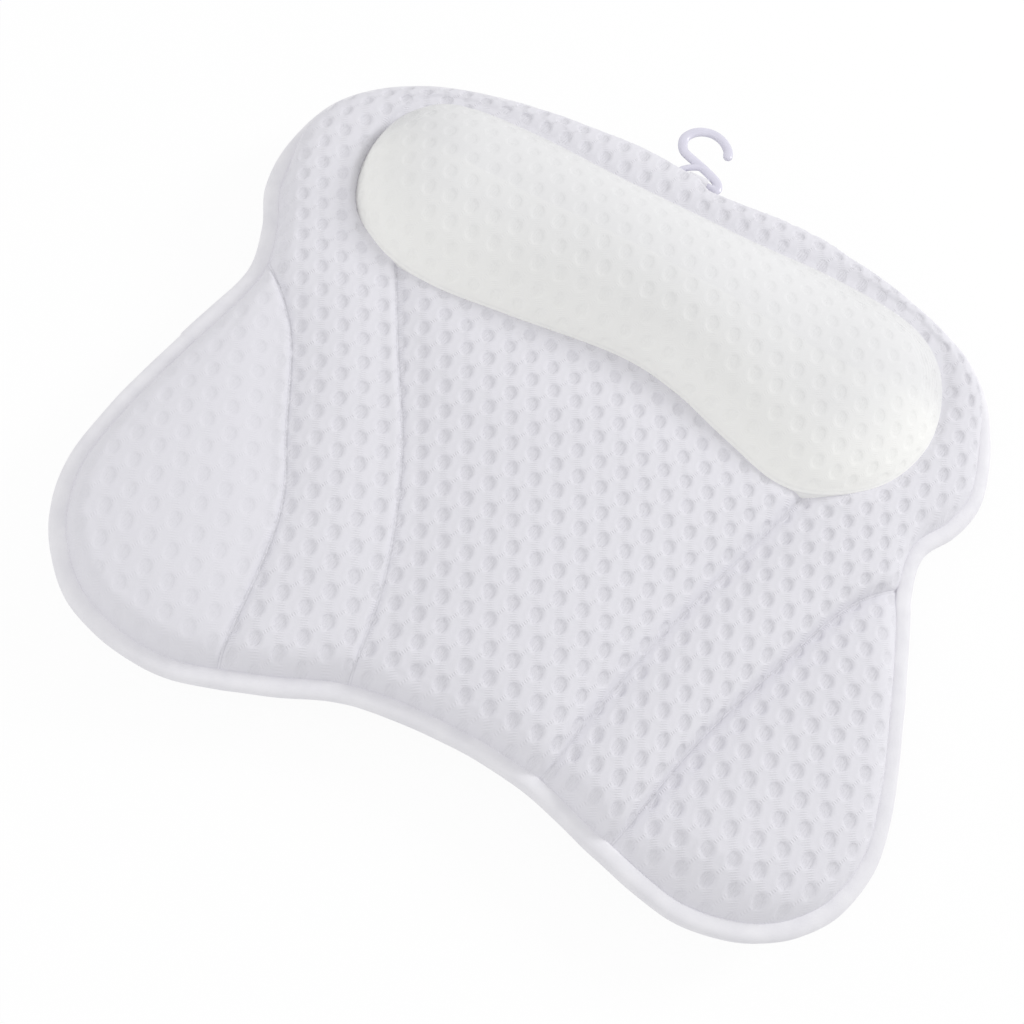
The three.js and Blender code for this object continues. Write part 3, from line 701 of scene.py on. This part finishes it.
def apply_modifier(piece, kind, **settings):
    """Applies a modifier to the active piece."""
    modifier = piece.modifiers.new(kind.lower(), kind)
    for name, value in settings.items():
        setattr(modifier, name, value)
    bpy.ops.object.modifier_apply(modifier=modifier.name)


def mend(closer_than):
    """Joins points of the active piece that are too close and turns its faces outwards."""
    bpy.ops.object.mode_set(mode="EDIT")
    bpy.ops.mesh.select_all(action="SELECT")
    bpy.ops.mesh.remove_doubles(threshold=closer_than * MM)
    bpy.ops.mesh.normals_make_consistent(inside=False)
    bpy.ops.object.mode_set(mode="OBJECT")


# ---- Pads inside the covers ----

# How far the headrest's pad stays within the dome, in plan and in height.
headrest_pad_share = 0.93
headrest_pad_height = 0.88


def make_pad(node):
    """A pad of fibre fill: the frame's pad with its corners swollen round, kept within its cover."""
    pad = new_object(node.replace("pad", "fill"), frame["nodes"][node].data.copy())
    select_only(pad)
    mend(closer_than=0.01)
    apply_modifier(pad, "REMESH", mode="VOXEL", voxel_size=5 * MM)
    apply_modifier(pad, "SMOOTH", iterations=3)
    bpy.ops.object.shade_smooth()
    points = np.empty(len(pad.data.vertices) * 3)
    pad.data.vertices.foreach_get("co", points)
    points = points.reshape(-1, 3) / MM - [*body_middle, 0]
    if node != "headrest_pad":
        facts = facts_at(points[:, :2])
        roof = front_height(facts) - cover_thickness - 1.2
        floor = back_face_height(facts) + cover_thickness + 0.3
        points[:, 2] = np.clip(points[:, 2], floor, np.maximum(roof, floor + 0.5))
    else:
        *_, ridge = headrest_rays(points[:, :2])
        whole = headrest_crest - headrest_foot
        above = np.maximum(points[:, 2] - headrest_foot, 0.5) * headrest_pad_height * ridge / whole
        plan = (points[:, :2] - headrest_middle) * headrest_pad_share + headrest_middle
        points = np.column_stack([plan, headrest_foot + above])
    pad.data.vertices.foreach_set("co", ((points + [*body_middle, 0]) * MM).ravel())
    dress(pad, "fibre_fill", node)


# ---- The edge tape ----

def drawn_curve(name, points, closed=False, radii=None):
    """A curve through points in metres, made out of a plain circle."""
    bpy.ops.curve.primitive_bezier_circle_add(radius=MM)
    curve = bpy.context.object
    curve.name = name
    curve.data.splines.clear()
    line = curve.data.splines.new("POLY")
    line.points.add(len(points) - 1)
    for number, (spot, place) in enumerate(zip(line.points, points)):
        spot.co = (*place, 1)
        spot.radius = 1 if radii is None else radii[number]
    line.use_cyclic_u = closed
    return curve


def become_mesh(curve):
    """Turns a curve into a mesh with its faces outwards."""
    select_only(curve)
    bpy.ops.object.convert(target="MESH")
    mend(closer_than=0.001)
    return bpy.context.object


tape_lap = (-203, -35)


def make_edge_tape():
    """The folded tape round the edge: a soft roll in section, with its end lapped over on the left."""
    turn = np.linspace(math.pi / 2, -math.pi / 2, 15)
    nose = np.stack([-4.6 + 4.6 * np.cos(turn), 3.95 * np.sin(turn)], axis=1)
    slope = np.linspace(0.15, 1, 6) * math.pi / 2
    shoulder = np.stack([-4.6 - 4.4 * np.sin(slope), 3.0 + 0.95 * np.cos(slope)], axis=1)
    inside = [(-9, 2.5), (-5, 2.6), (-1.4, 2.6), (-1.4, -2.6), (-5, -2.6), (-9, -2.5)]
    section = np.vstack([shoulder[::-1], nose, shoulder * [1, -1], inside[::-1]])
    section = np.column_stack([section, np.zeros(len(section))]) * MM
    profile = drawn_curve("tape_section", section, closed=True)

    step = 1.5
    path = line_through(outline, closed=True, step=step)
    along = np.arange(len(path)) * step
    lap = along[np.hypot(*(path - tape_lap).T).argmin()]
    above = (lap - along) % along[-1]
    doubled = ease(above, 40, 24) * (above > 0)
    wander = np.sin(along / 9.1) + np.sin(along / 23.7 + 1) + 0.6 * np.sin(along / 4.3 + 2)
    radii = 1 + 0.13 * doubled + 0.012 * wander
    _, _, inwards = beside(outline, path, closed=True)
    path = path - inwards * (0.5 * doubled + 0.08 * wander)[:, None]
    points = np.column_stack([path + body_middle, np.full(len(path), tape_height)]) * MM
    tape = drawn_curve("edge_tape", points, closed=True, radii=radii)
    tape.data.dimensions = "3D"
    tape.data.twist_mode = "Z_UP"
    tape.data.bevel_mode = "OBJECT"
    tape.data.bevel_object = profile
    tape = become_mesh(tape)
    bpy.data.objects.remove(profile)
    bpy.ops.object.shade_smooth_by_angle(angle=math.radians(50))
    dress(tape, "binding_tape", "edge_binding")


# ---- The hook and its loop ----

hook_half = np.array([17.3, 35.8])
hook_thickness = 3.2
loop_thickness = 0.85
bend_stroke = 5.9
bar_stroke = 3.9
bend_shares = [
    (0.59, 0.715), (0.51, 0.824), (0.23, 0.95), (-0.145, 1), (-0.52, 0.958), (-0.815, 0.849),
    (-0.994, 0.684), (-0.954, 0.531), (-0.8, 0.425), (-0.49, 0.363), (-0.087, 0.296),
    (0.318, 0.218), (0.607, 0.14), (0.717, 0.042), (0.7, 0),
]
bar_shares = [(0.7, 0), (0, 0), (-0.7, 0)]
leg_shares = [(-0.7, 0), (-0.636, 0.084), (-0.405, 0.19), (-0.087, 0.28)]
bar_middle = next(joint for joint in frame["joints"] if joint["name"] == "hook_swing")["pos_m"]


def make_hook():
    """The moulded hook: three rods of oval section in one piece."""
    rods = []
    strokes = (bend_shares, bend_stroke), (bar_shares, bar_stroke), (leg_shares, bar_stroke)
    for shares, stroke in strokes:
        line = line_through(np.array(shares) * hook_half, step=0.8)
        rod = drawn_curve("rod", np.column_stack([line, np.zeros(len(line))]) * MM)
        rod.data.bevel_depth = stroke / 2 * MM
        rod.data.bevel_resolution = 6
        rod.data.use_fill_caps = True
        rod = become_mesh(rod)
        for end in (line[0], line[-1]):
            bpy.ops.mesh.primitive_uv_sphere_add(
                segments=20, ring_count=12, radius=stroke / 2 * MM, location=(*(end * MM), 0)
            )
            rods.append(bpy.context.object)
        rods.append(rod)
        flatten = hook_thickness / stroke
        for part in rods[-3:]:
            part.data.transform(Matrix.Diagonal((1, 1, flatten, 1)) @ part.matrix_basis)
            part.matrix_basis = Matrix()
    select_only(*rods)
    bpy.ops.object.join()
    hook = bpy.context.object
    hook.name = "hanging_hook"
    apply_modifier(hook, "REMESH", mode="VOXEL", voxel_size=0.35 * MM)
    apply_modifier(hook, "SMOOTH", iterations=2)
    bpy.ops.object.shade_smooth()
    hook.data.transform(Matrix.Translation(bar_middle))
    dress(hook, "hook_plastic", "hook", "hook")


def make_hook_loop():
    """The loop of tape that holds the hook's bar, sewn into the edge."""
    low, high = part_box("hook_loop")
    radius = (high.z - low.z) / 2 - (loop_thickness + 0.05) * MM
    bpy.ops.mesh.primitive_cylinder_add(
        vertices=32, radius=radius, depth=high.x - low.x, end_fill_type="NOTHING",
        location=((low.x + high.x) / 2, bar_middle[1], bar_middle[2]), rotation=(0, math.pi / 2, 0),
    )
    loop = bpy.context.object
    loop.name = "hook_tape_loop"
    bpy.ops.object.transform_apply(location=True, rotation=True, scale=True)
    apply_modifier(loop, "SOLIDIFY", thickness=loop_thickness * MM, offset=1)
    apply_modifier(loop, "BEVEL", width=0.2 * MM, segments=2)
    bpy.ops.object.shade_smooth_by_angle(angle=math.radians(40))
    dress(loop, "binding_tape", "hook_loop")


# ---- Suction cups and washers ----

cup_profile = [
    (1.2, 7.6), (7.8, 7.1), (13.6, 5.0), (17.5, 2.3), (19.4, 0.05), (21.2, 0.05), (22, 0.5),
    (22, 1.3), (20.6, 3.2), (18.2, 5.6), (15.2, 7.7), (11.6, 9.5), (8.6, 10.3), (8, 11.2),
    (8, 14.6), (7.6, 15.3), (4.6, 15.4), (4.6, 20.3), (8.0, 20.3), (8.4, 20.7), (8.1, 21.6),
    (6.7, 22.5), (4.2, 23.1), (1.2, 23.3),
]
washer_profile = [(5, 18.4), (12.2, 18.4), (12.5, 18.7), (12.5, 19.7), (12.2, 20.0), (5, 20.0)]


def turned(profile, capped):
    """A piece turned about an upright axis: a circle drawn out ring by ring along a profile, and
    capped at both ends or joined to a ring."""
    radius, height = profile[0]
    bpy.ops.mesh.primitive_circle_add(vertices=64, radius=radius * MM, location=(0, 0, height * MM))
    bpy.ops.object.transform_apply(location=True, rotation=True, scale=True)
    bpy.ops.object.mode_set(mode="EDIT")
    bpy.ops.mesh.select_all(action="SELECT")
    for (radius, height), (next_radius, next_height) in zip(profile, profile[1:]):
        rise = (0, 0, (next_height - height) * MM)
        bpy.ops.mesh.extrude_region_move(TRANSFORM_OT_translate={"value": rise})
        ratio = next_radius / radius
        bpy.ops.transform.resize(value=(ratio, ratio, 1), center_override=(0, 0, next_height * MM))
    bpy.ops.mesh.select_all(action="DESELECT")
    bpy.ops.mesh.select_non_manifold()
    if capped:
        bpy.ops.mesh.edge_face_add()
    else:
        bpy.ops.mesh.bridge_edge_loops()
    bpy.ops.mesh.select_all(action="SELECT")
    bpy.ops.mesh.normals_make_consistent(inside=False)
    bpy.ops.object.mode_set(mode="OBJECT")
    bpy.ops.object.shade_smooth_by_angle(angle=math.radians(35))
    return bpy.context.object


def make_cups():
    """Six suction cups, each with the washer that holds it in the back cover."""
    cup = turned(cup_profile, capped=True)
    washer = turned(washer_profile, capped=False)
    for number, (x, y) in enumerate(cup_middles * MM, 1):
        for first, name, slot, node, body in (
            (cup, f"vinyl_cup_{number}", "cup_vinyl", f"suction_cup_{number}", f"cup_{number}"),
            (washer, f"washer_{number}", "washer_plastic", f"cup_washer_{number}", "pillow"),
        ):
            piece = new_object(name, first.data.copy())
            piece.data.transform(Matrix.Translation((x, y, 0)))
            dress(piece, slot, node, body)
    bpy.data.objects.remove(cup)
    bpy.data.objects.remove(washer)


# ---- Finishes ----

def linear(code):
    """The linear colour of an sRGB hex value."""
    parts = [int(code[at:at + 2], 16) / 255 for at in (1, 3, 5)]
    return (*[part / 12.92 if part <= 0.04045 else ((part + 0.055) / 1.055) ** 2.4 for part in parts], 1)


def feed(node, *inputs, **named):
    """Sets a shader node's inputs, or links them to other nodes: those in use in their order, or any
    by its name."""
    in_use = [socket for socket in node.inputs if socket.enabled]
    pairs = list(zip(in_use, inputs))
    pairs += [(node.inputs[name.replace("_", " ")], value) for name, value in named.items()]
    for socket, value in pairs:
        if isinstance(value, bpy.types.Node):
            value = next(output for output in value.outputs if output.enabled)
        if isinstance(value, bpy.types.NodeSocket):
            node.id_data.links.new(value, socket)
        else:
            socket.default_value = value


def add_node(tree, kind, *inputs, **named):
    """Adds a shader node: its kind and operation, its inputs in order or by a name with a capital,
    and its other settings."""
    kind, _, operation = kind.partition(":")
    node = tree.nodes.new("ShaderNode" + kind)
    if operation:
        node.operation = operation
    for name in [name for name in named if name[0].islower()]:
        setattr(node, name, named.pop(name))
    feed(node, *inputs, **named)
    return node


def new_finish(name, **plain):
    """A material with one Principled shader, plain values set on the shader's own sockets, and the
    way to add a node to it."""
    material = bpy.data.materials.new(name)
    material.use_nodes = True
    shader = material.node_tree.nodes["Principled BSDF"]
    feed(shader, **plain)
    return material, shader, partial(add_node, material.node_tree)


def knitted(name, ground, painted_pit_shade, stitching, edge, crease, painted_front_light=None, folds=0.0):
    """Polyester air mesh, warp-knitted as two faces held apart: a dull, slightly soft white
    whose pressed ovals are painted darker as shade in the pits, with ladders of fine stitches from oval
    to oval.
    Along a seam the cloth is pinched to a fine edge between two creases, with painted shade in the
    creases and a painted highlight on the edge. Towards a hem, on its front side, the colour is painted
    lighter as light on a wall that would be in shade, and the cloth is drawn into fine folds where it
    turns down out of sight."""
    material, shader, add = new_finish(
        name, Roughness=0.82, Sheen_Weight=0.12, Sheen_Roughness=0.5, Specular_IOR_Level=0.3
    )
    cloth = add("UVMap", uv_map="cloth")
    relief, seam_gap, sharp = (
        add("Attribute", attribute_name=mark).outputs["Fac"] for mark in ("relief", "seam_gap", "sharp")
    )
    place = add("TexCoord").outputs["Object"]
    step, rows = float(np.hypot(*dimple_step)), float(np.hypot(*two_rows))
    full_turn = 2 * math.pi

    # Single knit loops are 0.4 mm; they are drawn 0.9 mm across so that they show.
    loops = add("TexNoise", Vector=place, Scale=1100, Detail=2, Roughness=0.6)
    uneven = add("TexNoise", Vector=place, Scale=300, Detail=1)
    cast = add("TexNoise", Vector=place, Scale=14, Detail=2)

    # The nearest oval, whose uneven edge is at 1.
    ovals = []
    for shift in (0, 0.5):
        moved = add("VectorMath:ADD", cloth, (shift, shift, 0))
        cell = add("VectorMath:FRACTION", moved)
        centred = add("VectorMath:SUBTRACT", cell, (0.5, 0.5, 0))
        sized = add("VectorMath:MULTIPLY", centred, (step, rows, 0))
        oval = add(
            "Mapping", vector_type="TEXTURE",
            Vector=sized, Rotation=(0, 0, dimple_tilt), Scale=(*dimple_radii, 1),
        )
        ovals.append(add("VectorMath:LENGTH", oval))
    nearest = add("Math:MINIMUM", *ovals)
    wobble = add("MapRange", uneven, 0.25, 0.75, -0.12, 0.12)
    nearest = add("Math:ADD", nearest, wobble)
    pressed = add("MapRange", nearest, 0.78, 1.08, 1, 0, interpolation_type="SMOOTHSTEP")

    # The net in an oval is drawn up in strands 1.4 mm apart that lean to the right.
    leaning = add("Mapping", Vector=sized, Rotation=(0, 0, math.radians(14)))
    leaning = add("SeparateXYZ", leaning).outputs["X"]
    strand = add("Math:MULTIPLY", loops, 5.0)
    strand = add("Math:MULTIPLY_ADD", leaning, full_turn / 1.4, strand)
    netting = add("MapRange", add("Math:SINE", strand), -1, 1, 1.35, 0.65)
    netted = add("Math:MULTIPLY", pressed, netting)

    # Ladders of stitches lead from oval to oval: broad faint ones up to the left, and narrow
    # clear ones up to the right. Their rungs are 0.8 mm apart; they are drawn 1.15 mm apart so
    # that they show.
    x, y = (add("SeparateXYZ", cloth).outputs[axis] for axis in "XY")
    stitches = 0.0
    for across, lean, full_to, fades_by, rungs, strength in (
        ("ADD", -0.41, 0.06, 0.28, 12, 1.5), ("SUBTRACT", 0.41, 0.05, 0.1, 11, 1.7)
    ):
        off = add("Math:PINGPONG", add("Math:" + across, x, y), 0.5)
        on = add("MapRange", off, full_to, fades_by, strength, 0, interpolation_type="SMOOTHSTEP")
        along = add("Math:MULTIPLY", x, lean * rungs * full_turn)
        along = add("Math:MULTIPLY_ADD", y, 1.58 * rungs * full_turn, along)
        stitches = add("Math:MULTIPLY_ADD", add("Math:SINE", along), on, stitches)
    clear = add("MapRange", nearest, 1.0, 1.2, 0, 1)
    for share in (clear, stitching, relief):
        stitches = add("Math:MULTIPLY", stitches, share)

    colour = linear(ground)[:3]
    # Painted light: the colour turns lighter towards a hem on the front side, where the dome's wall
    # would be in shade.
    if painted_front_light:
        painted_light_share = add("MapRange", seam_gap, 1.5, 20, 1, 0.15)
        painted_light_share = add("Math:MULTIPLY", painted_light_share, sharp)
        colour = add("Mix", painted_light_share, linear(ground), linear(painted_front_light), data_type="RGBA")
    # The pressed ovals are darkened as painted shade in the pits, with the net drawn through it.
    pit_share = add("Math:MULTIPLY", netted, relief)
    shade = add("MapRange", cast, 0.3, 0.7, 0.985, 1.01)
    for part, tone in ((pit_share, -painted_pit_shade), (stitches, -0.04)):
        shade = add("Math:MULTIPLY_ADD", part, tone, shade)
    colour = add("VectorMath:SCALE", colour, shade)
    # Painted shade in the creases beside a seam, which breaks here and there, and a painted highlight on
    # the pinched edge between them.
    breaks = add("MapRange", uneven, 0.35, 0.6, 0.4, 1)
    for full_to, fades_by, whole, tone in ((0.45, 1.0, breaks, crease), (0.2, 0.5, 1.0, edge)):
        painted_seam_share = add("MapRange", seam_gap, full_to, fades_by, 1, 0)
        for share in (sharp, whole):
            painted_seam_share = add("Math:MULTIPLY", painted_seam_share, share)
        colour = add("Mix", painted_seam_share, colour, linear(tone), data_type="RGBA")

    # Heights in tenths of a millimetre.
    height = 0.0
    for part, rise in ((stitches, -0.5), (loops, 0.9), (pit_share, -1.9 * (1 - folds))):
        height = add("Math:MULTIPLY_ADD", part, rise, height)
    if folds:
        wave = add("Math:MULTIPLY_ADD", seam_gap, full_turn / 1.1, add("Math:MULTIPLY", cast, 12.0))
        there = add("MapRange", seam_gap, 6, 13, folds * 3, 0)
        there = add("Math:MULTIPLY", there, add("Math:SUBTRACT", 1.0, sharp))
        height = add("Math:MULTIPLY_ADD", add("Math:SINE", wave), there, height)
    bump = add("Bump", Height=height, Distance=0.1 * MM, Strength=1.0)
    feed(shader, Base_Color=colour, Normal=bump)
    return material


def woven_tape():
    """Folded polyester tape, woven fine and pressed: smooth and satin, a little cooler and
    brighter than the mesh, with a faint grain."""
    material, shader, add = new_finish(
        "polyester_tape", Roughness=0.6, Sheen_Weight=0.1, Specular_IOR_Level=0.4,
        Base_Color=linear("#E8E7EC"),
    )
    place = add("TexCoord").outputs["Object"]
    weave = add("TexNoise", Vector=place, Scale=1500, Detail=2)
    pull = add("TexNoise", Vector=place, Scale=90, Detail=2)
    height = add("Math:MULTIPLY_ADD", pull, 2.5, weave)
    bump = add("Bump", Height=height, Distance=0.1 * MM, Strength=0.8)
    tint = add(
        "MapRange", pull, (0.3, 0.3, 0.3), (0.7, 0.7, 0.7), linear("#E5E4E9")[:3],
        linear("#ECEBEF")[:3], data_type="FLOAT_VECTOR",
    )
    feed(shader, Base_Color=tint, Normal=bump)
    return material


def mottled(name, dark, light, scale, detail, rough, depth, strength, **plain):
    """A finish whose colour and skin are faintly uneven in the same places."""
    material, shader, add = new_finish(name, **plain)
    place = add("TexCoord").outputs["Object"]
    noise = add("TexNoise", Vector=place, Scale=scale, Detail=detail, Roughness=rough)
    tint = add("Mix", noise, linear(dark), linear(light), data_type="RGBA")
    bump = add("Bump", Height=noise, Distance=depth * MM, Strength=strength)
    feed(shader, Base_Color=tint, Normal=bump)
    return material


def moulded(name, light, dark, **plain):
    """Injection-moulded plastic: an even colour with a faint flow in it and a slightly wavy skin."""
    return mottled(name, dark, light, 120, 2, 0.5, 0.1, 0.4, **plain)


finishes = {
    # After each ground: painted shade in the pits, the stitches' strength, a painted highlight on a
    # seam's pinched edge and painted shade in its creases.
    "air_mesh": knitted("polyester_air_mesh", "#E2E1E7", 0.03, 1.0, "#E9E8EE", "#D2D1D8"),
    "back_mesh": knitted("polyester_back_mesh", "#E0DFE5", 0.045, 1.0, "#E6E5EB", "#D2D1D8"),
    # The headrest's last three colours are a painted highlight on the hem, painted shade beside it and
    # painted light towards the hem on the front side.
    "headrest_mesh": knitted(
        "polyester_headrest_mesh", "#E5E5E6", 0.008, 0.3, "#FDFDFA", "#F0F0EE", "#F9F9F6", folds=0.6
    ),
    "binding_tape": woven_tape(),
    # Polyester fibre fill: fluffy, dull and white.
    "fibre_fill": mottled(
        "polyester_fibre", "#E4E4E2", "#F6F6F4", 260, 6, 0.7, 1.5, 0.7, Roughness=0.95, Sheen_Weight=0.3
    ),
    "hook_plastic": moulded("moulded_polypropylene", "#DFDDEA", "#D5D3E1", Roughness=0.22, IOR=1.49),
    "cup_vinyl": moulded(
        "moulded_clear_vinyl", "#F2F5F6", "#E6EBED", Roughness=0.08, IOR=1.53, Transmission_Weight=0.85
    ),
    "washer_plastic": moulded("moulded_nylon", "#EFEFED", "#E7E7E5", Roughness=0.4, IOR=1.53),
}

make_cover("quilted_front", "air_mesh", "front_cover", 1, fine_step, 4)
make_headrest()
make_edge_tape()
make_hook()
make_hook_loop()
make_cover("quilted_back", "back_mesh", "back_cover", -1, 1.6 * fine_step, 2)
make_cups()
for pad in ("centre_pad", "arch_pad", "wing_pad_right", "wing_pad_left", "headrest_pad"):
    make_pad(pad)


# ---- Floor, light and camera ----

def make_floor():
    """A pale floor that shows white to the camera and keeps a soft shadow."""
    bpy.ops.mesh.primitive_plane_add(size=12)
    floor = bpy.context.object
    floor.name = "floor"
    material, shader, add = new_finish("white_paper")
    nodes = material.node_tree.nodes
    nodes.remove(shader)
    paper = add("BsdfDiffuse", linear("#FAFAFA"))
    white = add("Emission", (1, 1, 1, 1), 1.0)
    seen = add("LightPath").outputs
    direct = add("Math:MAXIMUM", seen["Is Camera Ray"], seen["Is Glossy Ray"])
    direct = add("Math:MAXIMUM", direct, seen["Is Transmission Ray"])
    share = add("Math:MULTIPLY", direct, 0.93)
    feed(nodes["Material Output"], Surface=add("MixShader", share, paper, white))
    floor.data.materials.append(material)


def make_light():
    """A white room, a key lamp at the head end on the right, and a broad weak one on the left."""
    world = bpy.data.worlds.new("white_room")
    bpy.context.scene.world = world
    world.use_nodes = True
    add = partial(add_node, world.node_tree)
    seen = add("LightPath").outputs
    direct = add("Math:MAXIMUM", seen["Is Camera Ray"], seen["Is Glossy Ray"])
    strength = add("Mix", direct, 0.74, 1.0)
    feed(world.node_tree.nodes["Background"], (1, 1, 1, 1), strength)

    aim = Vector((0, 0, 0.03))
    for name, place, size, power in (
        ("key_lamp", Vector((1.3, 1.3, 1.1)), 0.6, 16),
        ("left_lamp", Vector((-0.9, -0.7, 1.3)), 1.3, 4.2),
    ):
        bpy.ops.object.light_add(type="AREA", location=place)
        lamp = bpy.context.object
        lamp.name = name
        lamp.data.size = size
        lamp.data.energy = power
        lamp.rotation_euler = (aim - place).to_track_quat("-Z", "Y").to_euler()


def make_camera():
    """The photograph's camera: high over the foot of the pillow and turned to the left."""
    across, high, roll = math.radians(0.98), math.radians(70.1), math.radians(24.6)
    target = Vector((-12.53, -63.49, 28.1)) * MM
    back = Vector(
        (math.sin(across) * math.cos(high), -math.cos(across) * math.cos(high), math.sin(high))
    )
    level = Vector((math.cos(across), math.sin(across), 0))
    upright = back.cross(level)
    right = math.cos(roll) * level + math.sin(roll) * upright
    up = math.cos(roll) * upright - math.sin(roll) * level
    bpy.ops.object.camera_add(location=target + back * 0.4991)
    camera = bpy.context.object
    camera.name = "camera"
    camera.rotation_euler = Matrix((right, up, back)).transposed().to_euler()
    camera.data.lens = 35.156
    camera.data.sensor_width = 36
    camera.data.clip_start = 0.01
    bpy.context.scene.camera = camera


make_floor()
make_light()
make_camera()
bpy.context.scene.view_settings.view_transform = "Standard"
